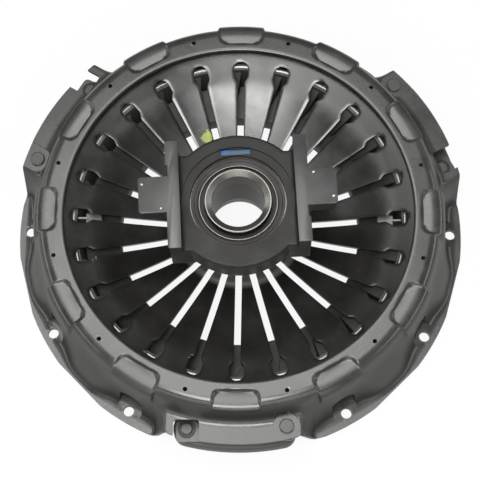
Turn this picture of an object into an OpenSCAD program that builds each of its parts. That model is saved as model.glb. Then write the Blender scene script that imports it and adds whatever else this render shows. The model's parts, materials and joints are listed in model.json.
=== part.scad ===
// Pull-type diaphragm clutch cover assembly with its release bearing.
// The flywheel face of the flange is z = 0, the shaft is the Z axis,
// and the gearbox is towards +Z.

/* [Cover] */
// Diameter of the bolt circle in the flange
bolt_circle = 450; // [446:1:454]
// Diameter of the flange's bolt holes
bolt_hole_d = 11; // [9:0.5:13]
// Outside diameter of the flange between the bolts
flange_od = 468; // [464:1:472]
// Thickness of the flange
flange_t = 6; // [5:0.5:7]
// Radius of the pad round each bolt hole
bolt_pad_r = 13.3; // [11:0.1:14]
// Height of the cover above the flywheel face
cover_h = 82; // [80:1:90]
// Thickness of the pressed sheet
sheet_t = 4.5; // [3.5:0.1:5.5]
// Outside diameter of the wall where it meets the flange
wall_foot_d = 448; // [445:1:451]
// Outside diameter of the wall below its shoulder
wall_top_d = 426; // [422:1:430]
// Radius of the shoulder between the wall and the top ring
shoulder_r = 10; // [7:0.5:12]
// Inside diameter of the top ring
ring_id = 360; // [350:1:366]
// Width of the arched opening above each bolt pad
arch_w = 31; // [26:0.5:34]
// Height of the top of each arched opening
arch_top = 48; // [40:1:52]
// How far the wall's swellings reach at the flange, as a diameter
swell_d = 458; // [452:1:460]

/* [Cover pockets] */
// Number of pockets pressed into the top ring
pockets = 12; // [12]
// Depth of the pockets
pocket_depth = 3.5; // [2.5:0.1:4.5]
// Diameter of the circle that the pockets' inner ends touch
pocket_inner_d = 376; // [372:1:380]
// Angle that each pocket spans, in degrees
pocket_span = 14; // [10:0.5:16]
// Radius of the pockets' corners
pocket_corner_r = 8; // [4:0.5:9]
// Diameter of the circle of small holes between the pockets
pin_hole_circle = 389; // [384:1:394]
// Diameter of the small holes
pin_hole_d = 4.6; // [3:0.2:6]

/* [Strap bridges] */
// Number of strap bridges round the cover
bridges = 3; // [3]
// Height of the top of the bridges
bridge_z = 54; // [52:1:58]
// Outside diameter of the bridges
bridge_od = 474; // [470:1:478]
// Angle from a bridge's middle to its cover rivet, in degrees
rivet_angle = 13; // [12:0.2:13.4]
// Diameter of the circle that the strap rivets lie on
rivet_circle = 448.4; // [445:0.2:451]
// Angle from a bridge's middle to the start of the strap opening, in degrees
opening_from = 9.5; // [8:0.1:9.8]
// Angle from a bridge's middle to the end of the strap opening, in degrees
opening_to = 16.4; // [16.2:0.1:17]
// Width of the bridge's leg at the top, on the opening's side
wing_w = 9; // [7:0.5:12]
// Distance from the cover rivet to the outer face of the other leg
pad_leg = 15.5; // [15:0.5:18]
// Slant of each leg, measured along the flange
leg_slant = 13.5; // [11:0.5:15]
// Depth of the flat faced round each cover rivet
spot_depth = 0.8; // [0.4:0.1:1.4]
// Radius of the flat faced round each cover rivet
spot_r = 14; // [12:0.5:14.5]

/* [Diaphragm spring] */
// Outside diameter of the diaphragm spring
spring_od = 399; // [396:1:402]
// Diameter of the circle inside the fingertips
spring_id = 84; // [80:1:88]
// Thickness of the spring
spring_t = 4.5; // [3.5:0.1:5]
// Number of fingers
fingers = 24; // [24]
// Width of the slots between the fingers
slot_w = 6.8; // [5:0.2:7.6]
// Diameter of the circle through the middle of the windows
window_circle = 328.8; // [324:0.4:332]
// Width of the windows that end the slots
window_w = 15; // [11:0.5:17]
// Length of the windows, measured towards the shaft
window_l = 21; // [18:0.5:24]
// Diameter at which the fingers start to rise from their flat tips
tip_flat_d = 120; // [116:1:124]
// Slope of the fingers where they leave their flat tips
finger_slope = 0.165; // [0.13:0.005:0.2]
// Slope of the fingers where they meet the plain rim
finger_end_slope = 0.3738; // [0.31:0.0002:0.42]
// Slope of the plain rim
rim_slope = 0.289; // [0.24:0.005:0.33]
// Diameter at which the plain rim starts
rim_from_d = 300; // [292:1:304]
// Diameter of the wire ring that the rim turns on
fulcrum_circle = 392; // [389:0.5:394]
// Diameter of the wire
wire_d = 3.4; // [2.6:0.2:4]

/* [Pressure plate] */
// Outside diameter of the pressure plate
plate_od = 419; // [414:1:421]
// Inside diameter of the pressure plate
plate_id = 253; // [244:1:262]
// Thickness of the pressure plate's ring
plate_t = 20; // [17:0.5:23]
// Height of the friction face above the flywheel face at rest
plate_rest = 1; // [0.5:0.1:2.5]
// Diameter of the ridge that carries the spring
ridge_circle = 345; // [342:0.5:350]
// Width of the ridge at its root
ridge_w = 14; // [11:0.5:16]
// Radius of the ridge's rounded top
ridge_top_r = 3.5; // [2.5:0.1:4.5]
// Number of cooling ribs inside the ridge
ribs = 24; // [24]
// Width of the ribs where they meet the ridge
rib_w = 19; // [14:0.5:22]
// Diameter at which the ribs start
rib_from_d = 286; // [276:1:292]
// Angle between each rib and the nearest slot, in degrees
rib_offset = 2.9; // [2:0.1:4]
// Radius of the lugs' rounded ends, about the strap rivets
lug_end_r = 16.8; // [15:0.1:18]
// Height of the lugs' underside above the friction face
lug_lift = 8; // [5:0.5:11]
// Height of the lugs' seat for the straps above the friction face
lug_top = 29.5; // [27:0.5:31]
// Angle by which the lugs stop short of the cover rivets, in degrees
lug_short = 1; // [0.8:0.1:2]
// Width of the two stop blocks on the plate
stop_w = 11; // [9:0.5:13]
// Length of the stop blocks along the radius
stop_l = 15; // [12:0.5:17]
// Thickness of the web between each stop block and the ridge
stop_web_t = 1.8; // [1.2:0.1:3]

/* [Straps] */
// Width of the straps
strap_w = 26; // [22:0.5:27]
// Length of the straps beyond the plate rivet's axis
strap_end = 10.5; // [9:0.1:11.5]
// Thickness of one strap leaf
leaf_t = 1.15; // [0.8:0.05:1.3]
// Number of leaves in each pack
leaves = 3; // [2:1:3]
// Length of the flat at each end of a strap, from the rivet's axis
strap_flat = 16; // [14:0.5:20]
// Diameter of the strap rivets' shanks
rivet_d = 10; // [8:0.5:11]
// Diameter of the cover rivets' heads
rivet_head_d = 15; // [14:0.5:18]
// Height of the rivets' heads
rivet_head_h = 2.8; // [2:0.1:3.4]
// Diameter of the plate rivets' heads
plate_head_d = 12.4; // [12:0.2:14]
// Outside diameter of the washers round the plate rivets' heads
washer_od = 18.4; // [17:0.2:20]
// Thickness of those washers
washer_t = 1.6; // [1:0.1:2]

/* [Release bearing sleeve] */
// Bore of the sleeve
bore_d = 54; // [50:0.5:56]
// Outside diameter of the sleeve
sleeve_od = 68.4; // [66:0.2:70]
// Height of the sleeve's end above the fingertips
sleeve_rise = 78; // [76:0.5:79]
// Length of the bevel in the mouth of the sleeve
mouth_bevel = 3.2; // [2:0.1:4]
// Height of the guide bush's end below the sleeve's end
bush_down = 25; // [20:0.5:30]
// Length of the guide bush
bush_len = 44; // [36:0.5:46]
// Wall of the guide bush
bush_wall = 2; // [1.5:0.1:2.5]
// Bore of the sleeve at its lower end
relief_d = 62.8; // [60:0.2:63]
// Outside diameter of the support ring on the fingertips
support_od = 112; // [108:0.5:114]
// Thickness of the support ring
support_t = 5; // [4:0.2:6]
// Outside diameter of the pull ring under the fingertips
pull_od = 104; // [100:0.5:108]
// Thickness of the pull ring
pull_t = 4.6; // [4:0.2:6]
// Thickness of the snap ring that holds the pull ring
snap_t = 2.6; // [2:0.2:3.4]
// Depth of the snap ring's groove
snap_groove = 1.4; // [1:0.1:1.6]
// Height of the disc spring over the support ring
preload_h = 6; // [5:0.2:7]
// Thickness of the disc spring
preload_t = 2; // [1.5:0.1:2.4]
// Outside diameter of the sleeve's collar
collar_od = 96; // [92:0.5:100]
// Thickness of the sleeve's collar
collar_t = 6; // [5:0.2:7]

/* [Ball bearing] */
// Diameter of the circle through the balls' centres
ball_circle = 100; // [99:0.2:101]
// Diameter of the balls
ball_d = 12; // [11:0.2:12.6]
// Number of balls
balls = 20; // [16:1:21]
// Height of the races
race_h = 30; // [26:0.5:31]
// Depth of the races' top below the housing's face
race_down = 11; // [9:0.5:12]
// Diameter of the outer race
outer_race_d = 119.8; // [118:0.2:121]
// Land between the balls and each race's edge
race_land = 2.6; // [2:0.1:3.2]

/* [Bearing housing] */
// Height of the housing's face above the fingertips
housing_rise = 79.2; // [78.6:0.2:81]
// Depth of the housing below its face
housing_depth = 51; // [49:0.5:53]
// Diameter of the housing's round ends
housing_d = 141; // [138:0.5:144]
// Distance between the inner faces of the two cheeks
cheek_gap = 115; // [113:0.5:117]
// Thickness of each cheek
cheek_t = 13; // [11:0.5:15]
// Length of the cheeks
cheek_l = 106; // [100:1:110]
// Height of the cheeks above the housing's face
cheek_h = 26; // [22:0.5:30]
// Distance between the tips of the two fork ears
ear_span = 195; // [188:1:200]
// Width of the fork ears
ear_w = 36; // [32:0.5:40]
// Thickness of the fork ears
ear_t = 20; // [16:0.5:22]
// Diameter of the opening in the housing's face
mouth_d = 98; // [94:0.5:102]
// Diameter of the shallow step round that opening
step_d = 114.6; // [112:0.2:118]
// Depth of that step
step_depth = 2; // [1:0.1:3]
// Angle that the housing stands turned from the cover, in degrees
housing_turn = 3.7; // [0:0.1:8]
// Width of the lock clip
clip_w = 31; // [26:0.5:34]
// Height of the lock clip in its slot
clip_h = 6; // [5:0.2:7]

/* [Wear plates] */
// Thickness of the wear plates
wear_t = 2.5; // [2:0.1:3]
// Length of the wear plates' strips
wear_l = 113; // [108:1:116]
// Width of the strips
wear_strip_w = 13.5; // [12:0.5:15]
// Width of the wear plates' tabs
wear_tab_w = 38; // [35:0.5:40]
// Distance between the outer ends of the two tabs
wear_span = 197; // [192:1:202]
// Diameter of the small rivets in the tabs
stud_d = 3.8; // [3:0.2:5]
// Distance of the outer small rivet from the end of the ear
outer_stud_in = 3.2; // [2.6:0.1:5]
// Distance of the outer small rivet from the tab's middle
outer_stud_off = 11.3; // [9:0.1:13]
// Distance of the inner small rivet from the cheek's inner face
inner_stud_in = 18.6; // [17:0.1:21]
// Distance of the inner small rivet from the tab's middle
inner_stud_off = 14.8; // [13:0.1:15.6]

/* [Hidden] */

$fn = 144;
eps = 0.01;
// Gap between faces that rest on each other
seat = 0.1;
// Radial gap between the sleeve and the rings that sit on it
slip = 0.05;
// Gap between pieces that turn or slide past each other
run = 0.4;
// Gap between the balls and their raceways
race_gap = 0.3;
// Far enough to cut right through anything
far = 300;

bolt_r = bolt_circle / 2;
rivet_r = rivet_circle / 2;
fulcrum_r = fulcrum_circle / 2;
ridge_r = ridge_circle / 2;
tip_r = tip_flat_d / 2;
rim_r = rim_from_d / 2;
wire_r = wire_d / 2;
finger_curve = (finger_end_slope - finger_slope) / (2 * (rim_r - tip_r));
bridge_step = 360 / bridges;
first_bridge = 270;
bolt_step = 30;
bolt_angles = [for (b = [0 : bridges - 1], k = [1 : 3])
    first_bridge + b * bridge_step + bolt_step * k];

// Height of the spring's upper face above its flat tips, at radius r
function rise(r) = r <= tip_r ? 0
    : r < rim_r ? finger_slope * (r - tip_r) + finger_curve * pow(r - tip_r, 2)
    : rise(rim_r - eps) + rim_slope * (r - rim_r);
rim_tilt = sqrt(1 + rim_slope * rim_slope);
pocket_under = cover_h - pocket_depth - sheet_t;
wire_z = pocket_under - seat - wire_r;
tip_z = wire_z - (wire_r + seat) * rim_tilt - rise(fulcrum_r);
function spring_top(r) = tip_z + rise(r);
function spring_under(r) = spring_top(r) - spring_t;

plate_top = plate_rest + plate_t;
ridge_z = spring_under(ridge_r) - (ridge_top_r + seat) * rim_tilt;
lug_z = plate_rest + lug_top;
lug_bottom = plate_rest + lug_lift;

strap_pack = leaves * (leaf_t + slip);
strap_low = lug_z + seat;
strap_high = bridge_z - sheet_t - seat - strap_pack;
rivet_x = rivet_r * sin(rivet_angle);
rivet_y = rivet_r * cos(rivet_angle);
// Size of the slanted corners at the top of each bridge
bridge_bend = 2;

sleeve_r = sleeve_od / 2;
sleeve_top = tip_z + sleeve_rise;
pull_z = tip_z - spring_t - seat - pull_t;
snap_z = pull_z - seat - snap_t;
sleeve_bottom = snap_z - 2;
support_z = tip_z + seat;
preload_z = support_z + support_t + seat;
collar_z = preload_z + preload_h + seat;
face_z = tip_z + housing_rise;
race_top = face_z - race_down;
race_z = race_top - race_h;
ball_z = race_z + race_h / 2;
ball_r = ball_d / 2;
bottom_z = face_z - housing_depth;
wear_z = face_z + cheek_h;
// Step in the sleeve that the inner race stands on
neck = 4;
circlip_t = 2.4;
circlip_groove = 1.5;
circlip_z = race_z - seat - circlip_t;
shield_t = 2;

// Points on an arc about [x, y], from angle a0 to a1
function arc(x, y, r, a0, a1, n = 8) =
    [for (i = [0 : n]) let (a = a0 + (a1 - a0) * i / n) [x + r * cos(a), y + r * sin(a)]];

// A bridge's own frame: Y points outwards and X towards its cover rivet
module bridge_frame(b) {
    rotate([0, 0, first_bridge + b * bridge_step - 90]) mirror([1, 0, 0]) children();
}

module at_bridges() {
    for (b = [0 : bridges - 1]) bridge_frame(b) children();
}

module at_bolts() {
    for (a = bolt_angles) rotate([0, 0, a]) translate([bolt_r, 0, 0]) children();
}

module ring(r_in, r_out, z, h) {
    translate([0, 0, z]) difference() {
        cylinder(r = r_out, h = h);
        translate([0, 0, -1]) cylinder(r = r_in, h = h + 2);
    }
}

module sector(r_in, r_out, span, z, h) {
    rotate([0, 0, -span / 2]) rotate_extrude(angle = span)
        translate([r_in, z]) square([r_out - r_in, h]);
}

// Cover: outline of the pressed shell, drawn outside the sheet or inside it
module shell_profile(inset) {
    top_z = cover_h - inset;
    top_r = wall_top_d / 2;
    bend_x = top_r - shoulder_r;
    bend_z = cover_h - shoulder_r;
    foot_r = wall_foot_d / 2;
    polygon(concat(
        [[0, top_z], [bend_x, top_z]],
        arc(bend_x, bend_z, shoulder_r - inset, 85, 0),
        [[foot_r - inset - 0.5, flange_t + 3.5], [foot_r - inset + 2.5, inset > 0 ? -1 : flange_t],
         [foot_r - inset + 2.5, inset > 0 ? -1 : 0], [0, inset > 0 ? -1 : 0]]));
}

module swellings(inset) {
    reach = swell_d / 2;
    foot = 20;
    for (b = [0 : bridges - 1], k = [1.5, 2.5])
        rotate([0, 0, first_bridge + b * bridge_step + bolt_step * k])
            translate([reach - foot, 0, -inset])
                cylinder(r1 = foot - inset, r2 = 6 - inset, h = cover_h - 22);
}

// Bridge over the straps: a trapezium across the bridge's frame
module bridge_block(inset) {
    top = bridge_z - inset;
    left = -(rivet_r * sin(opening_to) + wing_w) + inset;
    right = rivet_x + pad_leg - inset;
    slope = leg_slant / (bridge_z - flange_t);
    drop = top + 1;
    bend = bridge_bend;
    rotate([90, 0, 0]) mirror([0, 0, 1]) linear_extrude(inset > 0 ? far : bridge_od / 2)
        polygon([[left - slope * drop, -1], [left - bend * slope, top - bend], [left + bend, top],
            [right - bend, top], [right + bend * slope, top - bend], [right + slope * drop, -1]]);
}

// Outline of a pocket, open outwards: two rounded corners at its inner end
function pocket_outline(grow) = let (
    corner = pocket_corner_r,
    mid = pocket_inner_d / 2 - grow + corner,
    half = mid * tan(pocket_span / 2) + grow,
    flare = tan(pocket_span / 2),
    end = wall_top_d / 2 + 8
) concat(
    [[end, half + flare * (end - mid)]],
    arc(mid, half - corner, corner, 90, 180, 6),
    arc(mid, corner - half, corner, 180, 270, 6),
    [[end, -half - flare * (end - mid)]]);

module pocket_cut(z, grow) {
    for (k = [0 : pockets - 1]) rotate([0, 0, k * 360 / pockets])
        translate([0, 0, z]) linear_extrude(20) polygon(pocket_outline(grow));
}

module shell_outside() {
    difference() {
        union() {
            rotate_extrude() shell_profile(0);
            swellings(0);
            intersection() {
                at_bridges() bridge_block(0);
                cylinder(r = bridge_od / 2, h = far);
            }
        }
        pocket_cut(cover_h - pocket_depth, 0);
    }
}

module shell_inside() {
    difference() {
        union() {
            rotate_extrude() shell_profile(sheet_t);
            intersection() {
                swellings(sheet_t);
                cylinder(r = far, h = arch_top + 4);
            }
            difference() {
                at_bridges() bridge_block(sheet_t);
                translate([0, 0, -2]) cylinder(r = plate_id / 2, h = far);
            }
        }
        pocket_cut(pocket_under, sheet_t - 2);
    }
}

module arches() {
    at_bolts() {
        translate([-far / 20, 0, arch_top - arch_w / 2]) rotate([0, 90, 0])
            cylinder(d = arch_w, h = 40, center = true);
        translate([-far / 20 - 20, -arch_w / 2, flange_t])
            cube([40, arch_w, arch_top - arch_w / 2 - flange_t]);
    }
}

module strap_opening() {
    from = rivet_r * sin(opening_from);
    to = rivet_r * sin(opening_to);
    wall = wall_top_d / 2 + 4;
    at_bridges() translate([-to, wall, lug_z - 4])
        cube([to - from, bridge_od / 2 - wall + 5, far]);
}

module rivet_spots() {
    at_bridges() translate([rivet_x, rivet_y, bridge_z - spot_depth]) {
        cylinder(r = spot_r, h = 14);
        translate([-spot_r, 0, 0]) cube([2 * spot_r, 40, 14]);
    }
}

module flange() {
    difference() {
        union() {
            cylinder(d = flange_od, h = flange_t);
            at_bolts() cylinder(r = bolt_pad_r, h = flange_t);
        }
        difference() {
            translate([0, 0, -1]) cylinder(r = wall_foot_d / 2 - sheet_t, h = flange_t + 2);
            at_bolts() translate([0, 0, -2]) cylinder(r = bolt_pad_r, h = flange_t + 4);
        }
        difference() {
            at_bridges() bridge_block(sheet_t);
            cylinder(d = plate_id, h = far);
        }
    }
}

module cover() {
    color("#848884") difference() {
        union() {
            difference() {
                shell_outside();
                shell_inside();
                arches();
            }
            flange();
        }
        translate([0, 0, -1]) cylinder(d = ring_id, h = cover_h + 2);
        translate([0, 0, cover_h - 1.5]) cylinder(d1 = ring_id, d2 = ring_id + 5, h = 2.5);
        strap_opening();
        rivet_spots();
        at_bolts() translate([0, 0, -1]) cylinder(d = bolt_hole_d, h = flange_t + 2);
        for (k = [0 : pockets - 1]) rotate([0, 0, (k + 0.5) * 360 / pockets])
            translate([pin_hole_circle / 2, 0, pocket_under]) cylinder(d = pin_hole_d, h = 20);
        at_bridges() translate([rivet_x, rivet_y, strap_high]) cylinder(d = rivet_d + 2 * slip, h = 20);
    }
}

module fulcrum_ring() {
    color("#8c8c88") rotate_extrude() translate([fulcrum_r, wire_z]) circle(d = wire_d);
}

// Diaphragm spring: a dished disc, flat at its tips, cut into fingers
module spring_section() {
    steps = 6;
    radii = concat([spring_id / 2, tip_r - 3],
        [for (i = [0 : steps]) tip_r + (rim_r - tip_r) * i / steps], [spring_od / 2]);
    polygon(concat([for (r = radii) [r, spring_top(r)]],
        [for (i = [len(radii) - 1 : -1 : 0]) [radii[i], spring_under(radii[i])]]));
}

module slot_shape() {
    mid = window_circle / 2;
    half = (window_l - window_w) / 2;
    translate([spring_id / 2 - 5, -slot_w / 2]) square([mid - spring_id / 2 + 5, slot_w]);
    for (s = [-1, 1]) translate([mid + s * half, 0]) circle(d = window_w);
    translate([mid - half, -window_w / 2]) square([2 * half, window_w]);
}

module diaphragm_spring() {
    color("#34363a") difference() {
        rotate_extrude() spring_section();
        for (k = [0 : fingers - 1]) rotate([0, 0, k * 360 / fingers])
            linear_extrude(cover_h) slot_shape();
    }
}

// Pressure plate: friction ring, ridge under the spring, cooling ribs and lugs
module plate_section() {
    edge = 1.5;
    inner = plate_id / 2;
    outer = plate_od / 2;
    polygon([[inner + edge, plate_rest], [outer - edge, plate_rest], [outer, plate_rest + edge],
        [outer, plate_top - edge], [outer - edge, plate_top], [ridge_r + ridge_w / 2, plate_top],
        [ridge_r + ridge_top_r, ridge_z], [ridge_r - ridge_top_r, ridge_z],
        [ridge_r - ridge_w / 2, plate_top], [inner + edge, plate_top],
        [inner, plate_top - edge], [inner, plate_rest + edge]]);
    translate([ridge_r, ridge_z]) circle(r = ridge_top_r);
}

module plate_ribs() {
    from = rib_from_d / 2;
    to = ridge_r - ridge_top_r + 1;
    top = ridge_z - 3;
    for (k = [0 : ribs - 1]) if (k % (ribs / 2) != 0)
        rotate([0, 0, k * 360 / ribs + rib_offset]) intersection() {
        translate([0, rib_w / 2 + 1, 0]) rotate([90, 0, 0]) linear_extrude(rib_w + 2)
            polygon([[from, plate_top - 2], [from, plate_top + 1], [to, top], [to, plate_top - 2]]);
        linear_extrude(cover_h) polygon([[from, -1], [to, -rib_w / 2], [to, rib_w / 2], [from, 1]]);
    }
}

// Stop blocks: one at each side of the plate, joined to the ridge by a thin web
module stop_blocks() {
    low = plate_top + seat;
    flank = ridge_w / 2 - ridge_top_r;
    root = ridge_r - ridge_w / 2 - run;
    to = root - 5;
    from = to - stop_l;
    drop = 4;
    top = spring_under(from) - drop;
    web_top = spring_under(root) - drop;
    web_end = root + flank * (web_top - plate_top) / (ridge_z - plate_top);
    color("#a8aaa6") for (side = [0, 180]) rotate([0, 0, side]) {
        translate([0, stop_w / 2, 0]) rotate([90, 0, 0]) linear_extrude(stop_w)
            polygon([[from, low], [to, low], [to, web_top - drop / 2], [from, top]]);
        translate([0, stop_web_t / 2, 0]) rotate([90, 0, 0]) linear_extrude(stop_web_t)
            polygon([[to - 1, low], [root, low], [web_end, web_top], [to - 1, web_top]]);
    }
}

// Outline of a lug: rounded round its rivet at one end, and shorter at the other
function lug_outline() = let (
    end_r = lug_end_r,
    inner = plate_od / 2 - 12,
    short = rivet_angle - lug_short,
    reach = 4
) concat(
    arc(0, 0, rivet_r + end_r, 90 - short + 2, 90 + rivet_angle - 2, 12),
    arc(-rivet_x, rivet_y, end_r, 90 + rivet_angle, 180, 8),
    [[-rivet_x - end_r, rivet_y - 4]],
    arc(0, 0, inner, 90 + rivet_angle + reach, 90 - short - reach, 12),
    [[rivet_r * sin(short) + end_r, rivet_y - 4]],
    arc(rivet_r * sin(short), rivet_r * cos(short), end_r, 0, 90 - short, 8));

module plate_lugs() {
    at_bridges() translate([0, 0, lug_bottom]) linear_extrude(lug_z - lug_bottom)
        polygon(lug_outline());
}

module pressure_plate() {
    color("#3c3d3c") difference() {
        union() {
            rotate_extrude() plate_section();
            plate_ribs();
            plate_lugs();
        }
        at_bridges() translate([-rivet_x, rivet_y, lug_bottom - 1])
            cylinder(d = rivet_d + 2 * slip, h = lug_top);
        at_bridges() translate([-rivet_x, rivet_y, lug_bottom - 1])
            cylinder(d = rivet_head_d + 2, h = 1 + rivet_head_h + 2);
    }
}

// Drive straps: packs of spring leaves between a cover rivet and a lug rivet
module strap_outline() {
    corner = 5;
    // The end at the cover rivet stops short of the bend in the bridge's leg
    end = min(strap_end, pad_leg - sheet_t - bridge_bend - run);
    x = rivet_x + end - corner;
    back = -rivet_x - strap_end + corner;
    y = strap_w / 2 - corner;
    difference() {
        polygon(concat(arc(x, y, corner, 0, 90, 6), arc(back, y, corner, 90, 180, 6),
            arc(back, -y, corner, 180, 270, 6), arc(x, -y, corner, 270, 360, 6)));
        for (s = [-1, 1]) translate([s * rivet_x, 0]) circle(d = rivet_d + 2 * slip);
    }
}

module strap_leaf(z0, z1) {
    bend = rivet_x - strap_flat;
    end = rivet_x + strap_w;
    translate([0, rivet_y, 0]) intersection() {
        linear_extrude(cover_h) strap_outline();
        translate([0, strap_w, 0]) rotate([90, 0, 0]) linear_extrude(2 * strap_w)
            polygon([[-end, z0], [-bend, z0], [bend, z1], [end, z1],
                [end, z1 + leaf_t], [bend, z1 + leaf_t], [-bend, z0 + leaf_t], [-end, z0 + leaf_t]]);
    }
}

module strap_pack_at(b) {
    color("#5a5c5e") bridge_frame(b) for (i = [0 : leaves - 1])
        strap_leaf(strap_low + i * (leaf_t + slip), strap_high + i * (leaf_t + slip));
}

module drive_straps_a() { strap_pack_at(0); }
module drive_straps_b() { strap_pack_at(1); }
module drive_straps_c() { strap_pack_at(2); }

module rivet_head(d, h) {
    bevel = 0.7;
    cylinder(d = d, h = h - bevel);
    translate([0, 0, h - bevel]) cylinder(d1 = d, d2 = d - 3 * bevel, h = bevel);
}

module cover_rivets() {
    top = bridge_z - spot_depth;
    low = strap_high - seat;
    color("#7c7e7c") at_bridges() translate([rivet_x, rivet_y, 0]) {
        translate([0, 0, low]) cylinder(d = rivet_d, h = top - low);
        translate([0, 0, top]) rivet_head(rivet_head_d, rivet_head_h);
        translate([0, 0, low]) mirror([0, 0, 1]) rivet_head(rivet_head_d, rivet_head_h);
    }
}

module plate_rivets() {
    top = strap_low + strap_pack + seat;
    low = lug_bottom + rivet_head_h + 2;
    color("#6a6c6a") at_bridges() translate([-rivet_x, rivet_y, 0]) {
        translate([0, 0, low]) cylinder(d = rivet_d, h = top - low);
        translate([0, 0, top]) rivet_head(plate_head_d, rivet_head_h);
        translate([0, 0, low]) mirror([0, 0, 1]) rivet_head(rivet_head_d, rivet_head_h);
    }
}

module plate_washers() {
    color("#2e2f2e") at_bridges() translate([-rivet_x, rivet_y, strap_low + strap_pack + seat])
        difference() {
            cylinder(d = washer_od, h = washer_t);
            translate([0, 0, -1]) cylinder(d = plate_head_d + 2 * run, h = washer_t + 2);
        }
}

// Sleeve of the release bearing, with a collar above the disc spring
module bearing_sleeve() {
    bush_r = bore_d / 2 + bush_wall + slip;
    bush_top = sleeve_top - bush_down;
    relief_from = bush_top - slip - bush_len - 1;
    color("#b9b7b0") rotate_extrude() difference() {
        polygon([[bore_d / 2, bush_top], [bore_d / 2, sleeve_top - mouth_bevel],
            [sleeve_r - 1.5, sleeve_top], [sleeve_r - 0.6, sleeve_top], [sleeve_r, sleeve_top - 0.6],
            [sleeve_r, race_z - seat], [sleeve_r + neck, race_z - seat],
            [sleeve_r + neck, collar_z + collar_t],
            [collar_od / 2 - 1, collar_z + collar_t], [collar_od / 2, collar_z + collar_t - 1],
            [collar_od / 2, collar_z], [sleeve_r, collar_z], [sleeve_r, sleeve_bottom],
            [relief_d / 2, sleeve_bottom], [bush_r, relief_from], [bush_r, bush_top]]);
        translate([sleeve_r - snap_groove, snap_z - slip]) square([10, snap_t + 2 * slip]);
    }
}

module guide_bush() {
    color("#8f8a80") ring(bore_d / 2, bore_d / 2 + bush_wall,
        sleeve_top - bush_down - slip - bush_len, bush_len);
}

module support_ring() {
    color("#3a3b3b") rotate_extrude() polygon([[sleeve_r + slip, support_z],
        [support_od / 2 - 1.5, support_z], [support_od / 2, support_z + 1.5],
        [support_od / 2, support_z + support_t - 1], [support_od / 2 - 1, support_z + support_t],
        [sleeve_r + slip, support_z + support_t]]);
}

module preload_spring() {
    inner = sleeve_r + 1;
    outer = support_od / 2 - 6;
    color("#4b4c4c") rotate_extrude() polygon([[inner, preload_z + preload_h - preload_t],
        [outer, preload_z], [outer, preload_z + preload_t], [inner, preload_z + preload_h]]);
}

module pull_ring() {
    color("#6f706e") rotate_extrude() polygon([[sleeve_r + slip, pull_z], [pull_od / 2 - 2, pull_z],
        [pull_od / 2, pull_z + 2], [pull_od / 2, pull_z + pull_t], [sleeve_r + slip, pull_z + pull_t]]);
}

module snap_ring() {
    reach = 6;
    color("#55575a") difference() {
        ring(sleeve_r - snap_groove + slip, sleeve_r + reach, snap_z, snap_t);
        translate([0, -4, snap_z - 1]) cube([sleeve_r + reach + 5, 8, snap_t + 2]);
    }
}

// Ball bearing between the sleeve and the housing
module raceway() {
    rotate_extrude() translate([ball_circle / 2, ball_z]) circle(r = ball_r + race_gap);
}

module inner_race() {
    color("#a9a9a4") difference() {
        ring(sleeve_r + slip, ball_circle / 2 - race_land, race_z, race_h);
        raceway();
    }
}

module outer_race() {
    color("#a9a9a4") difference() {
        ring(ball_circle / 2 + race_land, outer_race_d / 2, race_z, race_h);
        raceway();
    }
}

module bearing_balls() {
    color("#d8d8d8") for (k = [0 : balls - 1]) rotate([0, 0, k * 360 / balls])
        translate([ball_circle / 2, 0, ball_z]) sphere(r = ball_r);
}

module ball_cage() {
    half = race_land - run;
    color("#9a8a50") difference() {
        ring(ball_circle / 2 - half, ball_circle / 2 + half, ball_z - ball_r - 2, ball_d + 4);
        for (k = [0 : balls - 1]) rotate([0, 0, k * 360 / balls])
            translate([ball_circle / 2, 0, ball_z]) sphere(r = ball_r + race_gap);
    }
}

module face_seal() {
    inner = sleeve_r + 5;
    top = face_z - step_depth - 5.5;
    outer = mouth_d / 2 - slip;
    color("#2c2624") rotate_extrude() polygon([[inner, race_top + seat], [outer, race_top + seat],
        [outer, top], [inner + 1, top], [inner, top - 1]]);
}

module rear_shield() {
    color("#555654") ring(sleeve_r + neck + run, outer_race_d / 2, circlip_z - seat - shield_t, shield_t);
}

module race_circlip() {
    color("#55575a") difference() {
        ring(outer_race_d / 2 - 3.5, outer_race_d / 2 + circlip_groove - slip, circlip_z, circlip_t);
        translate([0, -5, circlip_z - 1]) cube([far, 10, circlip_t + 2]);
    }
}

// Housing: round body between two cheeks, each with a fork ear
module housing_body() {
    r = housing_d / 2;
    half = cheek_gap / 2 + cheek_t;
    taper = 22;
    intersection() {
        rotate_extrude() polygon([[0, bottom_z], [r - 6, bottom_z], [r, bottom_z + taper],
            [r, face_z - 1.5], [r - 1.5, face_z], [0, face_z]]);
        translate([-half, -r - 1, 0]) cube([2 * half, 2 * r + 2, far]);
    }
}

module housing_cheek() {
    inner = cheek_gap / 2;
    shoulder_l = cheek_l - 4;
    translate([inner, -cheek_l / 2, face_z - 4]) cube([cheek_t, cheek_l, cheek_h + 4]);
    translate([inner - 12, -shoulder_l / 2, bottom_z + 10])
        cube([cheek_t + 12, shoulder_l, face_z - bottom_z - 10]);
    translate([0, 0, wear_z - ear_t]) difference() {
        translate([inner + 2, -ear_w / 2, 0]) cube([ear_span / 2 - inner - 2, ear_w, ear_t]);
        for (s = [-1, 1]) translate([ear_span / 2 - 4, s * (ear_w / 2 - 4), -1]) difference() {
            translate([0, s > 0 ? 0 : -5, 0]) cube([5, 5, ear_t + 2]);
            cylinder(r = 4, h = ear_t + 2);
        }
    }
}

module clip_slot(grow) {
    translate([-clip_w / 2 - grow, mouth_d / 2 + 0.8 - grow, face_z - step_depth - 6 - grow])
        cube([clip_w + 2 * grow, clip_h + 2 * grow, 20]);
}

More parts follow.
